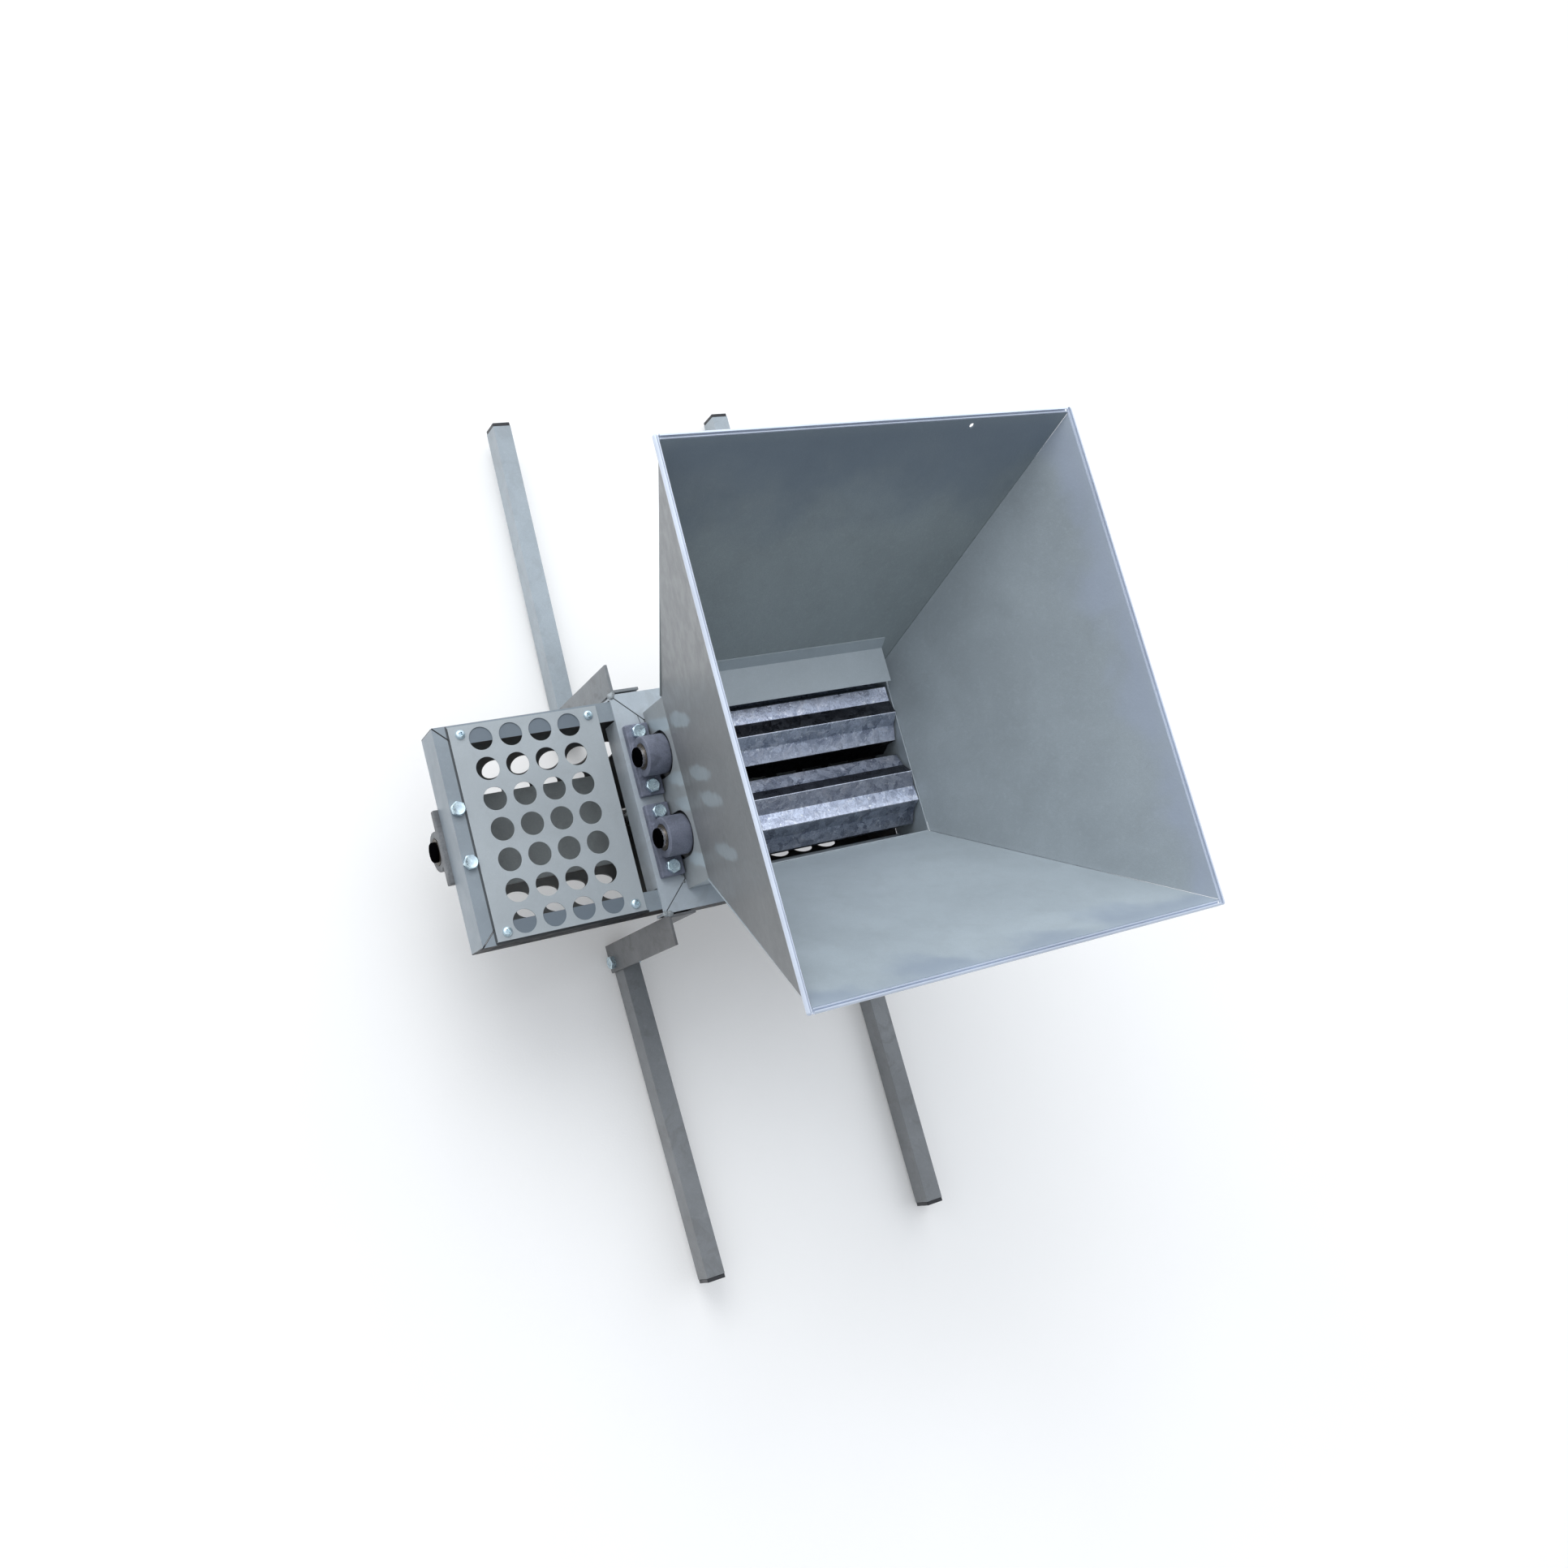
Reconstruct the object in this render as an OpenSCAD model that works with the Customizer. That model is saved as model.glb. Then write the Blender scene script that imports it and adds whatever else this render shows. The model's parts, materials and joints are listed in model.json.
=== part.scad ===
/* [Trough frame] */
// Width of the trough frame over its front and back rails
trough_w = 214; // [208:1:216]
// Height of the trough frame's upright flanges
rail_h = 40; // [36:1:44]
// Width of the trough frame's flat top flanges
rail_top = 20; // [18:1:26]
// Thickness of every angle-iron leg
angle_t = 3; // [2.5:0.5:3]

/* [Cover and sieve] */
// Diameter of the round holes in the cover and the sieve
hole_d = 23; // [18:1:25]
// Distance between hole centres
hole_pitch = 30; // [28:1:32]
// Thickness of the cover sheet
cover_t = 1; // [1:0.5:1.5]
// Inner radius of the sieve's round bottom
sieve_r = 56; // [54:1:60]
// Thickness of the sieve sheet
sieve_t = 1.5; // [1:0.5:2]

/* [Crusher frame] */
// Length of the crusher frame along the rollers
frame_l = 316; // [312:1:320]
// Width of the crusher frame across the rollers
frame_w = 226; // [224:1:230]
// Width of each angle leg of the crusher frame
frame_leg = 30; // [27:1:30]

/* [Hopper] */
// Height of the fold between neck and hopper above the ground
fold_z = 246; // [240:1:250]
// Height of the rim's centre line above the ground
rim_z = 503; // [480:1:520]
// How far the hopper's mouth reaches to the left of the crusher's centre
rim_left = 189.3; // [180:0.1:192]
// How far the hopper's mouth reaches to the right of the crusher's centre
rim_right = 240; // [225:0.5:244]
// How far the hopper's mouth reaches to the front
rim_front = 239.4; // [230:0.1:244]
// How far the hopper's mouth reaches to the back
rim_back = 241.2; // [230:0.1:244]
// Distance of the hem's centre line outside the mouth
hem_out = 3.2; // [3.1:0.1:3.4]
// Radius of the rolled hem
hem_r = 2.6; // [2.4:0.1:2.8]
// Thickness of the hopper sheet
sheet_t = 1.5; // [1:0.5:2]

/* [Rollers] */
// Radius over the ridges of a roller
ridge_r = 40.5; // [38:0.5:40.5]
// Radius at the bottom of a roller's valleys
valley_r = 34; // [32:0.5:35]
// Number of ridges around a roller
ridges = 8; // [6:1:9]
// Length of a roller's sheet body
roller_l = 248; // [240:1:249]
// Diameter of all three shafts
shaft_d = 20; // [18:1:20]

/* [Rotor] */
// Reach of the rotor's paddles from its axis
paddle_r = 46; // [42:1:47]
// Length of the wide discharge paddle
discharge_l = 149; // [110:1:149]

/* [Legs] */
// Width of the rectangular leg tubes
leg_w = 20; // [19:0.5:20]
// Height of the rectangular leg tubes when folded out
leg_h = 26; // [20:1:26]
// Length of each leg tube
leg_l = 350; // [320:1:352]
// Upward tilt of the left legs as the photo shows them
tilt_left = 3.2; // [0:0.1:5]
// Upward tilt of the right legs as the photo shows them
tilt_right = 1; // [0:0.1:5]

/* [Crank] */
// Distance from the crank shaft to the grip
crank_r = 165; // [140:1:170]
// Length of the turning grip
grip_l = 116; // [100:1:116]

/* [Hidden] */
$fn = 64;

// The crusher's centre stands 10 mm right of the middle of the whole object.
xc = 10;
frame_z = 190;                    // top of the crusher frame
rail_z = frame_z - angle_t;       // top of the trough frame
fx = frame_l / 2;
fy = frame_w / 2;
ty = trough_w / 2;
trough_x0 = -341;                 // outer face of the left end rail
trough_x1 = 152;                  // outer face of the right end rail
cover_x0 = -326.4;
cover_x1 = -174;
cover_half = 105;
hole_x0 = -296;
neck_x = 127;                     // outer face of the left and right neck walls
neck_f = 93.5;                    // outer face of the front neck wall
neck_b = 90;                      // outer face of the back neck wall

// Gears: the drive gear and pinion set how far the rotor lies below the rollers.
gear_m = 2.5;
roller_teeth = 33;
drive_teeth = 52;
pinion_teeth = 24;
roller_y = gear_m * roller_teeth / 2;
drive_dist = gear_m * (drive_teeth + pinion_teeth) / 2;
drop = sqrt(drive_dist * drive_dist - roller_y * roller_y);
axis_h = (drop - (frame_z - rail_z + rail_h)) / 2;  // bearing axis above its foot
roller_z = frame_z + axis_h;
rotor_z = rail_z - rail_h - axis_h;
drive_angle = 180 + atan(drop / roller_y);           // from roller to rotor, seen along X

shaft_r = shaft_d / 2;
bush_r = 13;
foot_w = 25;
foot_l = 74;
foot_t = 8;
bolt_pitch = 56;
foot_x = 141;                     // centre of the roller bearings' feet
rotor_foot_x0 = -333.9;
rotor_foot_x1 = 144.5;
bracket_x0 = -155;
bracket_x1 = 151;
bracket_y = fy + 1.5;
hinge_y = 134;
hinge_z = leg_h / 2 + 1;

enamel = "#a3adb0";
enamel_dark = "#7f8586";
zinc = "#b9c4cc";
cast = "#6b6a72";
steel = "#9a9ca0";
spangle = "#9fa4ab";
black = "#16171a";

module at(x = 0, y = 0, z = 0) translate([xc + x, y, z]) children();
// Local X and Y become the object's Y and Z, and the extrusion runs along the object's X.
module along_x() rotate([90, 0, 90]) children();
module rod(r, l) rotate([0, 90, 0]) cylinder(r = r, h = l);

// ---- angle irons -------------------------------------------------------
// One member of a mitred angle frame: flat flange seen in plan, upright flange outside it.
// l0 and l1 are the ends of its outer edge, w the flat flange, h the upright flange.
module member(l0, l1, w, h) {
  g = 0.25;
  translate([0, 0, -angle_t]) linear_extrude(angle_t)
    polygon([[l0 + g, 0], [l1 - g, 0], [l1 - w - g, w], [l0 + w + g, w]]);
  translate([l0 + angle_t + g, 0, -h]) cube([l1 - l0 - 2 * angle_t - 2 * g, angle_t, h]);
}

module bolt_holes(n, pitch, r = 4.5) for (s = [-1, 1]) translate([0, s * pitch / 2, -20]) cylinder(r = r, h = 60);

module trough_left_rail() color(enamel) at() difference() {
  union() {
    translate([trough_x0, 0, rail_z]) rotate([0, 0, -90]) member(-ty, ty, rail_top, rail_h);
    // the upright flange reaches the corners, outside the front and back rails' ends
    for (s = [-1, 1]) translate([trough_x0, s > 0 ? ty - angle_t - 0.5 : -ty, rail_z - rail_h])
      cube([angle_t, angle_t + 0.5, rail_h - angle_t]);
  }
  translate([rotor_foot_x0, 0, rail_z]) bolt_holes(2, bolt_pitch - 4);
  for (s = [-1, 1]) translate([-315, s * 96.5, rail_z - 10]) cylinder(r = 2.2, h = 20);
}

module trough_right_rail() color(enamel) at()
  difference() {
    translate([trough_x1, 0, rail_z]) rotate([0, 0, 90]) member(-ty + 3.5, ty - 3.5, rail_top, rail_h);
    for (s = [-1, 1]) translate([foot_x, s * roller_y, rail_z]) bolt_holes(2, bolt_pitch);
  }

module long_rail() {
  difference() {
    union() {
      translate([0, -ty, rail_z]) translate([trough_x0, 0, -angle_t]) linear_extrude(angle_t)
        polygon([[0.6, 0], [trough_x1 - trough_x0, 0], [trough_x1 - trough_x0, 3.2],
          [trough_x1 - trough_x0 - rail_top, rail_top - 0.5], [rail_top + 0.6, rail_top]]);
      translate([trough_x0 + angle_t + 0.2, -ty, rail_z - rail_h]) cube([trough_x1 - trough_x0 - angle_t - 0.2, angle_t, rail_h - angle_t / 2]);
    }
    for (x = [-315, -184]) translate([x, -96.5, rail_z - 10]) cylinder(r = 2.2, h = 20);
  }
}
module trough_front_rail() color(enamel) at() long_rail();
module trough_back_rail() color(enamel) at() mirror([0, 1, 0]) long_rail();

// ---- cover and sieve ---------------------------------------------------
module cover_plate() color(enamel) at() translate([0, 0, rail_z]) difference() {
  translate([cover_x0, -cover_half, 0]) cube([cover_x1 - cover_x0, 2 * cover_half, cover_t]);
  for (i = [0:3], j = [-3:3]) translate([hole_x0 + i * hole_pitch, j * hole_pitch, -1]) cylinder(d = hole_d, h = cover_t + 2);
  for (x = [-315, -184], s = [-1, 1]) translate([x, s * 96.5, -1]) cylinder(r = 2.2, h = cover_t + 2);
}

module cover_screws() color(zinc) at() for (x = [-315, -184], s = [-1, 1])
  translate([x, s * 96.5, rail_z + cover_t]) difference() {
    union() {
      rotate_extrude() polygon([[0, 0], [4.7, 0], [4.7, 1.1], [4.2, 1.9], [3, 2.6], [0, 2.9]]);
      translate([0, 0, -12]) cylinder(r = 2.1, h = 12.5);
    }
    for (a = [0, 90]) rotate([0, 0, a + 20]) translate([-2.4, -0.45, 1.3]) cube([4.8, 0.9, 3]);
  }

// Section of the sieve, seen along X: upright lips on the rails, sloping sides, round bottom.
lip_y = ty - angle_t - 0.1;
lip_z = rail_z - 24;
lip_d = sqrt(lip_y * lip_y + pow(lip_z - rotor_z, 2));
tan_a = atan((lip_z - rotor_z) / lip_y) - acos(sieve_r / lip_d);
side_l = sqrt(lip_d * lip_d - sieve_r * sieve_r);
module sieve_half(r) {
  // everything inside the sieve's inner or outer surface, below the rails
  intersection() {
    translate([-lip_y - 5, 0]) square([2 * lip_y + 10, rail_z - 4]);
    union() {
      translate([0, rotor_z]) circle(r = r, $fn = 96);
      for (m = [0, 1]) mirror([m, 0]) polygon([[0, rotor_z], [r * cos(tan_a), rotor_z + r * sin(tan_a)],
        [r * cos(tan_a) + side_l * cos(tan_a + 90), rotor_z + r * sin(tan_a) + side_l * sin(tan_a + 90)],
        [lip_y + (r - sieve_r), lip_z], [lip_y + (r - sieve_r), rail_z], [0, rail_z]]);
    }
  }
}
sieve_x0 = -316;
sieve_l = neck_x - 2 - sieve_x0;
// One surface of the sieve as a run of points: lip, sloping side, bottom in flat strips, side, lip.
strips = 14;
function side_end(r, y) = let (d = (y - r * cos(tan_a)) / -sin(tan_a)) rotor_z + r * sin(tan_a) + d * cos(tan_a);
function sieve_line(r, y) = concat([[y, rail_z - 4], [y, side_end(r, y)]],
  [for (i = [0:strips]) let (a = tan_a - (180 + 2 * tan_a) * i / strips) [r * cos(a), rotor_z + r * sin(a)]],
  [[-y, side_end(r, y)], [-y, rail_z - 4]]);
function backwards(v) = [for (i = [len(v) - 1:-1:0]) v[i]];
module sieve_trough() color(enamel_dark) difference() {
  at(sieve_x0) along_x() linear_extrude(sieve_l)
    polygon(concat(sieve_line(sieve_r, lip_y), backwards(sieve_line(sieve_r - sieve_t, lip_y - sieve_t))));
  // under the outlet the bottom and both sides are perforated, under the rollers only the sides
  for (i = [0:13]) at(hole_x0 - 5.5 + i * hole_pitch, 0, rotor_z) {
    if (i < 6) for (k = [-1:1]) rotate([k * 31, 0, 0]) translate([0, 0, -sieve_r - 4]) cylinder(d = hole_d, h = 12);
    for (w = i < 5 ? [15, 46] : [46]) side_hole(0, w);
    if (i < 5) for (w = [21, 52]) side_hole(1, w);
  }
  for (x = [-42:29:74]) at(x, 0, rotor_z) side_hole(1, 38);
}
// one hole in the sieve's side, w above the round bottom; m = 0 at the back, 1 at the front
module side_hole(m, w) mirror([0, m, 0]) rotate([tan_a, 0, 0])
  translate([0, sieve_r, w]) rotate([90, 0, 0]) translate([0, 0, -3]) cylinder(d = hole_d, h = 8);

module trough_end_plate() color(enamel) at(neck_x - 1.8, 0, 0) difference() {
  along_x() linear_extrude(sheet_t) sieve_half(sieve_r);
  translate([-1, 0, rotor_z]) rod(shaft_r + 2, 6);
}

// ---- crusher frame -----------------------------------------------------
module frame_side(s) {
  difference() {
    rotate([0, 0, -90]) member(-fy, fy, frame_leg, frame_leg);
    for (k = [-1, 1]) translate([fx - foot_x, k * roller_y, 0]) bolt_holes(2, bolt_pitch);
    if (s < 0) for (k = [-1, 1]) translate([-1, k > 0 ? ty - rail_top - 0.5 : -fy - 1, -frame_leg - 1])
      cube([angle_t + 2, fy - ty + rail_top + 2, frame_leg + 1 - angle_t]);
  }
}
module frame_left_member() color(enamel) at(-fx, 0, frame_z) frame_side(-1);
module frame_right_member() color(enamel) at(fx, 0, frame_z) mirror([1, 0, 0]) frame_side(1);
module frame_front_member() color(enamel) at(0, -fy, frame_z) member(-fx, fx, frame_leg, frame_leg);
module frame_back_member() color(enamel) at(0, fy, frame_z) mirror([0, 1, 0]) member(-fx, fx, frame_leg, frame_leg);

// Corner bracket: upright angle iron, welded 1.5 mm clear of the frame on two beads.
module bracket() {
  difference() {
    union() {
      cube([angle_t, 30, frame_z]);
      cube([30, angle_t, frame_z]);
      for (x = [3.5, 24]) translate([x, -1.5, frame_z - frame_leg + 4]) cube([3, 1.5, frame_leg - 8]);
    }
    translate([-1, hinge_y - bracket_y, hinge_z]) rod(4.2, 6);
  }
}
module bracket_front_left() color(enamel_dark) at(bracket_x0, -bracket_y) mirror([0, 1, 0]) bracket();
module bracket_back_left() color(enamel_dark) at(bracket_x0, bracket_y) bracket();
module bracket_front_right() color(enamel_dark) at(bracket_x1, -bracket_y) mirror([1, 0, 0]) mirror([0, 1, 0]) bracket();
module bracket_back_right() color(enamel_dark) at(bracket_x1, bracket_y) mirror([1, 0, 0]) bracket();

// ---- hopper ------------------------------------------------------------
// A sloping wall: b0..b1 along the fold, t0..t1 along the rim, standing out by "out",
// with a rolled hem h0..h1 along its upper edge.
module wall(b0, b1, t0, t1, out, h0, h1) {
  up = rim_z - fold_z;
  slant = sqrt(up * up + out * out);
  lean = atan(out / up);
  rotate([90 + lean, 0, 0]) linear_extrude(sheet_t)
    polygon([[b0, 0], [b1, 0], [t1, slant], [t0, slant]]);
  translate([h0, -out - hem_out, up]) rod(hem_r, h1 - h0);
}
// the front and back walls run past the side walls by seam_b at the fold and seam_t at the rim
seam_b = 2.6;
seam_t = 0.2;
module end_wall(out) wall(-neck_x - seam_b, neck_x + seam_b, -rim_left - seam_t, rim_right + seam_t, out,
  -rim_left + 0.4, rim_right - 0.4);
// a side wall, listed from its back end to its front end
module side_wall(out, m) mirror([m, 0, 0]) wall(-neck_b + 0.6, neck_f - 0.6, -rim_back + 0.6, rim_front - 0.6, out,
  -rim_back - hem_out - hem_r, rim_front + hem_out + hem_r);
module hopper_front_wall() color(enamel) at(0, -neck_f, fold_z) end_wall(rim_front - neck_f);
module hopper_back_wall() color(enamel) at(0, neck_b, fold_z) difference() {
  mirror([0, 1, 0]) end_wall(rim_back - neck_b);
  // small hanging hole near the rim
  translate([130.7, (rim_back - neck_b) * (1 - 6 / (rim_z - fold_z)), rim_z - fold_z - 6]) rotate([90, 0, 0]) translate([0, 0, -5]) cylinder(r = 2.6, h = 10);
}
module hopper_left_wall() color(enamel_dark) at(-neck_x, 0, fold_z) rotate([0, 0, -90]) side_wall(rim_left - neck_x, 0);
module hopper_right_wall() color(enamel) at(neck_x, 0, fold_z) rotate([0, 0, 90]) side_wall(rim_right - neck_x, 1);

module neck_side() difference() {
  translate([0, -neck_f, rail_z + 0.2]) cube([sheet_t, neck_f + neck_b, fold_z - rail_z - 0.4]);
  // the front and back members' flat flanges pass outside the neck's ends
  translate([-1, -neck_f - 1, rail_z - 4]) cube([sheet_t + 2, neck_f + 1.3 - fy + frame_leg, 7.2]);
  translate([-1, fy - frame_leg - 0.3, rail_z - 4]) cube([sheet_t + 2, neck_b + 1.3 - fy + frame_leg, 7.2]);
  // round-topped cut-outs let the bearing rings through
  for (s = [-1, 1]) {
    translate([-1, s * roller_y, roller_z]) rod(23, sheet_t + 2);
    translate([-1, s * roller_y - 23, rail_z - 4]) cube([sheet_t + 2, 46, roller_z - rail_z + 4]);
  }
}
module neck_left_wall() color(enamel_dark) at(-neck_x) neck_side();
module neck_right_wall() color(enamel_dark) at(neck_x) mirror([1, 0, 0]) neck_side();
module neck_cross() translate([-neck_x + sheet_t + 0.05, 0, frame_z + 0.2]) cube([2 * (neck_x - sheet_t) - 0.1, sheet_t, fold_z - frame_z - 0.4]);
module neck_front_wall() color(enamel) at(0, -neck_f) neck_cross();
module neck_back_wall() color(enamel) at(0, neck_b - sheet_t) neck_cross();

// Guard strip: a flange flat on the back wall's inside, then a level shelf over the back roller.
guard_h = 20;                     // height of the bend above the fold
module guard_strip() color(enamel) at(0, neck_b, fold_z) {
  lean = atan((rim_back - neck_b) / (rim_z - fold_z));
  y0 = guard_h * tan(lean);
  translate([-124, y0, guard_h]) rotate([-lean, 0, 0]) translate([0, -sheet_t - 0.05, 0]) cube([242, sheet_t, 14]);
  translate([-124, y0 - 37, guard_h - 0.4]) cube([242, 36.2, sheet_t]);
}

// ---- bearings ----------------------------------------------------------
// Cast housing: foot with two bolt holes, round boss; the boss is set off along X.
module housing(ring_off) {
  difference() {
    union() {
      translate([-foot_w / 2, -foot_l / 2, 0]) cube([foot_w, foot_l, foot_t]);
      translate([ring_off - 12, 0, 0]) {
        translate([0, 0, axis_h]) rod(20, 24);
        translate([0, -17, foot_t - 1]) cube([24, 34, axis_h - foot_t + 1]);
      }
    }
    translate([ring_off - 13, 0, axis_h]) rod(bush_r, 26);
    bolt_holes(2, bolt_pitch, 4.5);
  }
}
module housing_front_left() color(cast) at(-foot_x, -roller_y, frame_z) housing(3.5);
module housing_back_left() color(cast) at(-foot_x, roller_y, frame_z) housing(3.5);
module housing_front_right() color(cast) at(foot_x, -roller_y, frame_z) mirror([1, 0, 0]) housing(3.5);
module housing_back_right() color(cast) at(foot_x, roller_y, frame_z) mirror([1, 0, 0]) housing(3.5);
module rotor_housing(x) at(x, 0, rail_z - rail_h) mirror([0, 0, 1]) difference() {
  union() {
    translate([-foot_w / 2, -foot_l / 2, 0]) cube([foot_w, foot_l, foot_t]);
    translate([-12, 0, axis_h]) rod(20, 24);
    translate([-12, -17, foot_t - 1]) cube([24, 34, axis_h - foot_t + 1]);
  }
  translate([-13, 0, axis_h]) rod(bush_r, 26);
  bolt_holes(2, bolt_pitch - 4, 4.5);
}
module rotor_housing_left() color(cast) rotor_housing(rotor_foot_x0);
module rotor_housing_right() color(cast) rotor_housing(rotor_foot_x1);

module bush() difference() {
  rod(bush_r, 24);
  translate([-1, 0, 0]) rod(shaft_r + 0.05, 26);
}
module bearing_bushes() color("#a98a4e") {
  for (s = [-1, 1]) {
    at(-foot_x + 3.5 - 12, s * roller_y, roller_z) bush();
    at(foot_x - 3.5 - 12, s * roller_y, roller_z) bush();
  }
  at(rotor_foot_x0 - 12, 0, rotor_z) bush();
  at(rotor_foot_x1 - 12, 0, rotor_z) bush();
}

module hex_head(h = 5.3, af = 13) rotate([0, 0, 17]) cylinder(r = af / 2 / cos(30), h = h, $fn = 6);
module nut(h = 6.5) difference() {
  hex_head(h);
  translate([0, 0, -1]) cylinder(r = 4, h = h + 2);
}
module bolt(z_head, z_end) {
  translate([0, 0, z_head]) { cylinder(r = 6.4, h = 0.6); translate([0, 0, 0.6]) hex_head(4.9); }
  translate([0, 0, z_end]) cylinder(r = 4, h = z_head - z_end + 0.1);
}
module bearing_bolts() color(zinc) {
  for (x = [-foot_x, foot_x], s = [-1, 1], k = [-1, 1])
    at(x, s * roller_y + k * bolt_pitch / 2) bolt(frame_z + foot_t, x < 0 ? rail_z - 10 : rail_z - 13);
  for (k = [-1, 1]) at(rotor_foot_x0, k * (bolt_pitch - 4) / 2) bolt(rail_z, rail_z - rail_h - foot_t - 10);
  // studs welded under the right end rail
  for (k = [-1, 1]) at(rotor_foot_x1, k * (bolt_pitch - 4) / 2, rail_z - rail_h - foot_t - 10) cylinder(r = 4, h = rail_h + foot_t + 10 - angle_t);
}
module bearing_nuts() color(zinc) {
  for (x = [-foot_x, foot_x], s = [-1, 1], k = [-1, 1])
    at(x, s * roller_y + k * bolt_pitch / 2, (x < 0 ? rail_z : rail_z - angle_t) - 6.5) nut();
  for (x = [rotor_foot_x0, rotor_foot_x1], k = [-1, 1])
    at(x, k * (bolt_pitch - 4) / 2, rail_z - rail_h - foot_t - 6.5) nut();
}

// ---- rollers -----------------------------------------------------------
function star(ro, ri, n) = [for (i = [0:2 * n - 1]) let (a = i * 180 / n, r = i % 2 == 0 ? ro : ri) [r * cos(a), r * sin(a)]];
// half angles between a face and the radius at a ridge and at a valley
face_a = atan2(valley_r * sin(180 / ridges), ridge_r - valley_r * cos(180 / ridges));
inner_ridge = ridge_r - 1.5 / sin(face_a);
inner_valley = valley_r - 1.5 / sin(face_a + 180 / ridges);
phase_back = 99.2;
phase_front = 72;

module shell(phase) translate([-roller_l / 2, 0, roller_z]) along_x() rotate([0, 0, phase]) linear_extrude(roller_l) difference() {
  polygon(star(ridge_r, valley_r, ridges));
  polygon(star(inner_ridge, inner_valley, ridges));
}
module discs(phase) for (x = [-roller_l / 2 + 3, roller_l / 2 - 6]) translate([x, 0, roller_z]) difference() {
  along_x() rotate([0, 0, phase]) linear_extrude(3) polygon(star(inner_ridge - 0.15, inner_valley - 0.1, ridges));
  translate([-1, 0, 0]) rod(shaft_r + 0.05, 5);
}
module shaft(x0, x1, z) translate([x0, 0, z]) rotate([0, 90, 0])
  rotate_extrude() polygon([[0, 0], [shaft_r - 1, 0], [shaft_r, 1], [shaft_r, x1 - x0 - 1], [shaft_r - 1, x1 - x0], [0, x1 - x0]]);

module roller_front_shaft() color(steel) at(0, -roller_y) shaft(-156, 216, roller_z);
module roller_back_shaft() color(steel) at(0, roller_y) shaft(-156, 193, roller_z);
module roller_front_shell() color(spangle) at(0, -roller_y) shell(phase_front);
module roller_back_shell() color(spangle) at(0, roller_y) shell(phase_back);
module roller_front_discs() color(steel) at(0, -roller_y) discs(phase_front);
module roller_back_discs() color(steel) at(0, roller_y) discs(phase_back);

// ---- gears -------------------------------------------------------------
function inv_pt(rb, r, side, half) = let (t = sqrt(max(0, r * r / (rb * rb) - 1)), a = half - (t * 180 / PI - atan(t))) [r * cos(side * a), r * sin(side * a)];
function tooth_pts(z, m, c, lash) = let (rp = m * z / 2, rb = rp * cos(20), ra = rp + m, rf = rp - 1.25 * m,
    half = 90 / z - lash / 2 / rp * 180 / PI + (tan(20) * 180 / PI - 20), rs = max(rb, rf + 0.1))
  [for (p = concat([[rf * cos(-half - (rb > rf ? 0 : -1)), rf * sin(-half - (rb > rf ? 0 : -1))]],
      [for (f = [0, 0.3, 0.65, 1]) inv_pt(rb, rs + f * (ra - rs), -1, half)],
      [for (f = [1, 0.65, 0.3, 0]) inv_pt(rb, rs + f * (ra - rs), 1, half)],
      [[rf * cos(half - (rb > rf ? 0 : 1)), rf * sin(half - (rb > rf ? 0 : 1))]]))
    [p[0] * cos(c) - p[1] * sin(c), p[0] * sin(c) + p[1] * cos(c)]];
module gear(z, phase, w, hub_r, hub_w, lash = 0.3) difference() {
  union() {
    along_x() linear_extrude(w) polygon([for (i = [0:z - 1]) each tooth_pts(z, gear_m, phase + i * 360 / z, lash)]);
    translate([w - 0.1, 0, 0]) rod(hub_r, hub_w + 0.1);
  }
  translate([-1, 0, 0]) rod(shaft_r + 0.05, w + hub_w + 2);
}
gear_x1 = 163;                    // plane of the roller gears
gear_x2 = 179;                    // plane of the rotor drive
module roller_front_gear() color(steel) at(gear_x1, -roller_y, roller_z) gear(roller_teeth, 0, 10, 15, 5);
module roller_back_gear() color(steel) at(gear_x1, roller_y, roller_z) gear(roller_teeth, 0, 10, 15, 5);
module rotor_drive_gear() color(steel) at(gear_x2, roller_y, roller_z) difference() {
  gear(drive_teeth, drive_angle, 10, 15, 3);
  // lightening holes
  for (a = [0:60:300]) rotate([a + 20, 0, 0]) translate([-1, 0, 38]) rod(11, 12);
}
module rotor_pinion() color(steel) at(gear_x2, 0, rotor_z) gear(pinion_teeth, drive_angle - 180 + 180 / pinion_teeth, 10, 15, 3);

// ---- rotor -------------------------------------------------------------
discharge_x = -308;
module rotor_shaft() color(steel) at() difference() {
  shaft(-350.5, 193, rotor_z);
  // flat that carries the wide paddle
  translate([discharge_x - 1, -15, rotor_z + shaft_r - 1.5]) cube([discharge_l + 2, 30, 10]);
}
module discharge_paddle() color("#5b5e60") at(discharge_x, -paddle_r, rotor_z + shaft_r - 1.5) cube([discharge_l, 2 * paddle_r, 3]);
finger_n = 10;
module rotor_fingers() color("#5b5e60") for (i = [0:finger_n - 1]) at(-150 + i * 27, 0, rotor_z)
  for (h = [0, 180]) rotate([i * 36 + h, 0, 0]) translate([0, -2, shaft_r - 0.6]) cube([22, 4, paddle_r - shaft_r + 0.6]);

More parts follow.
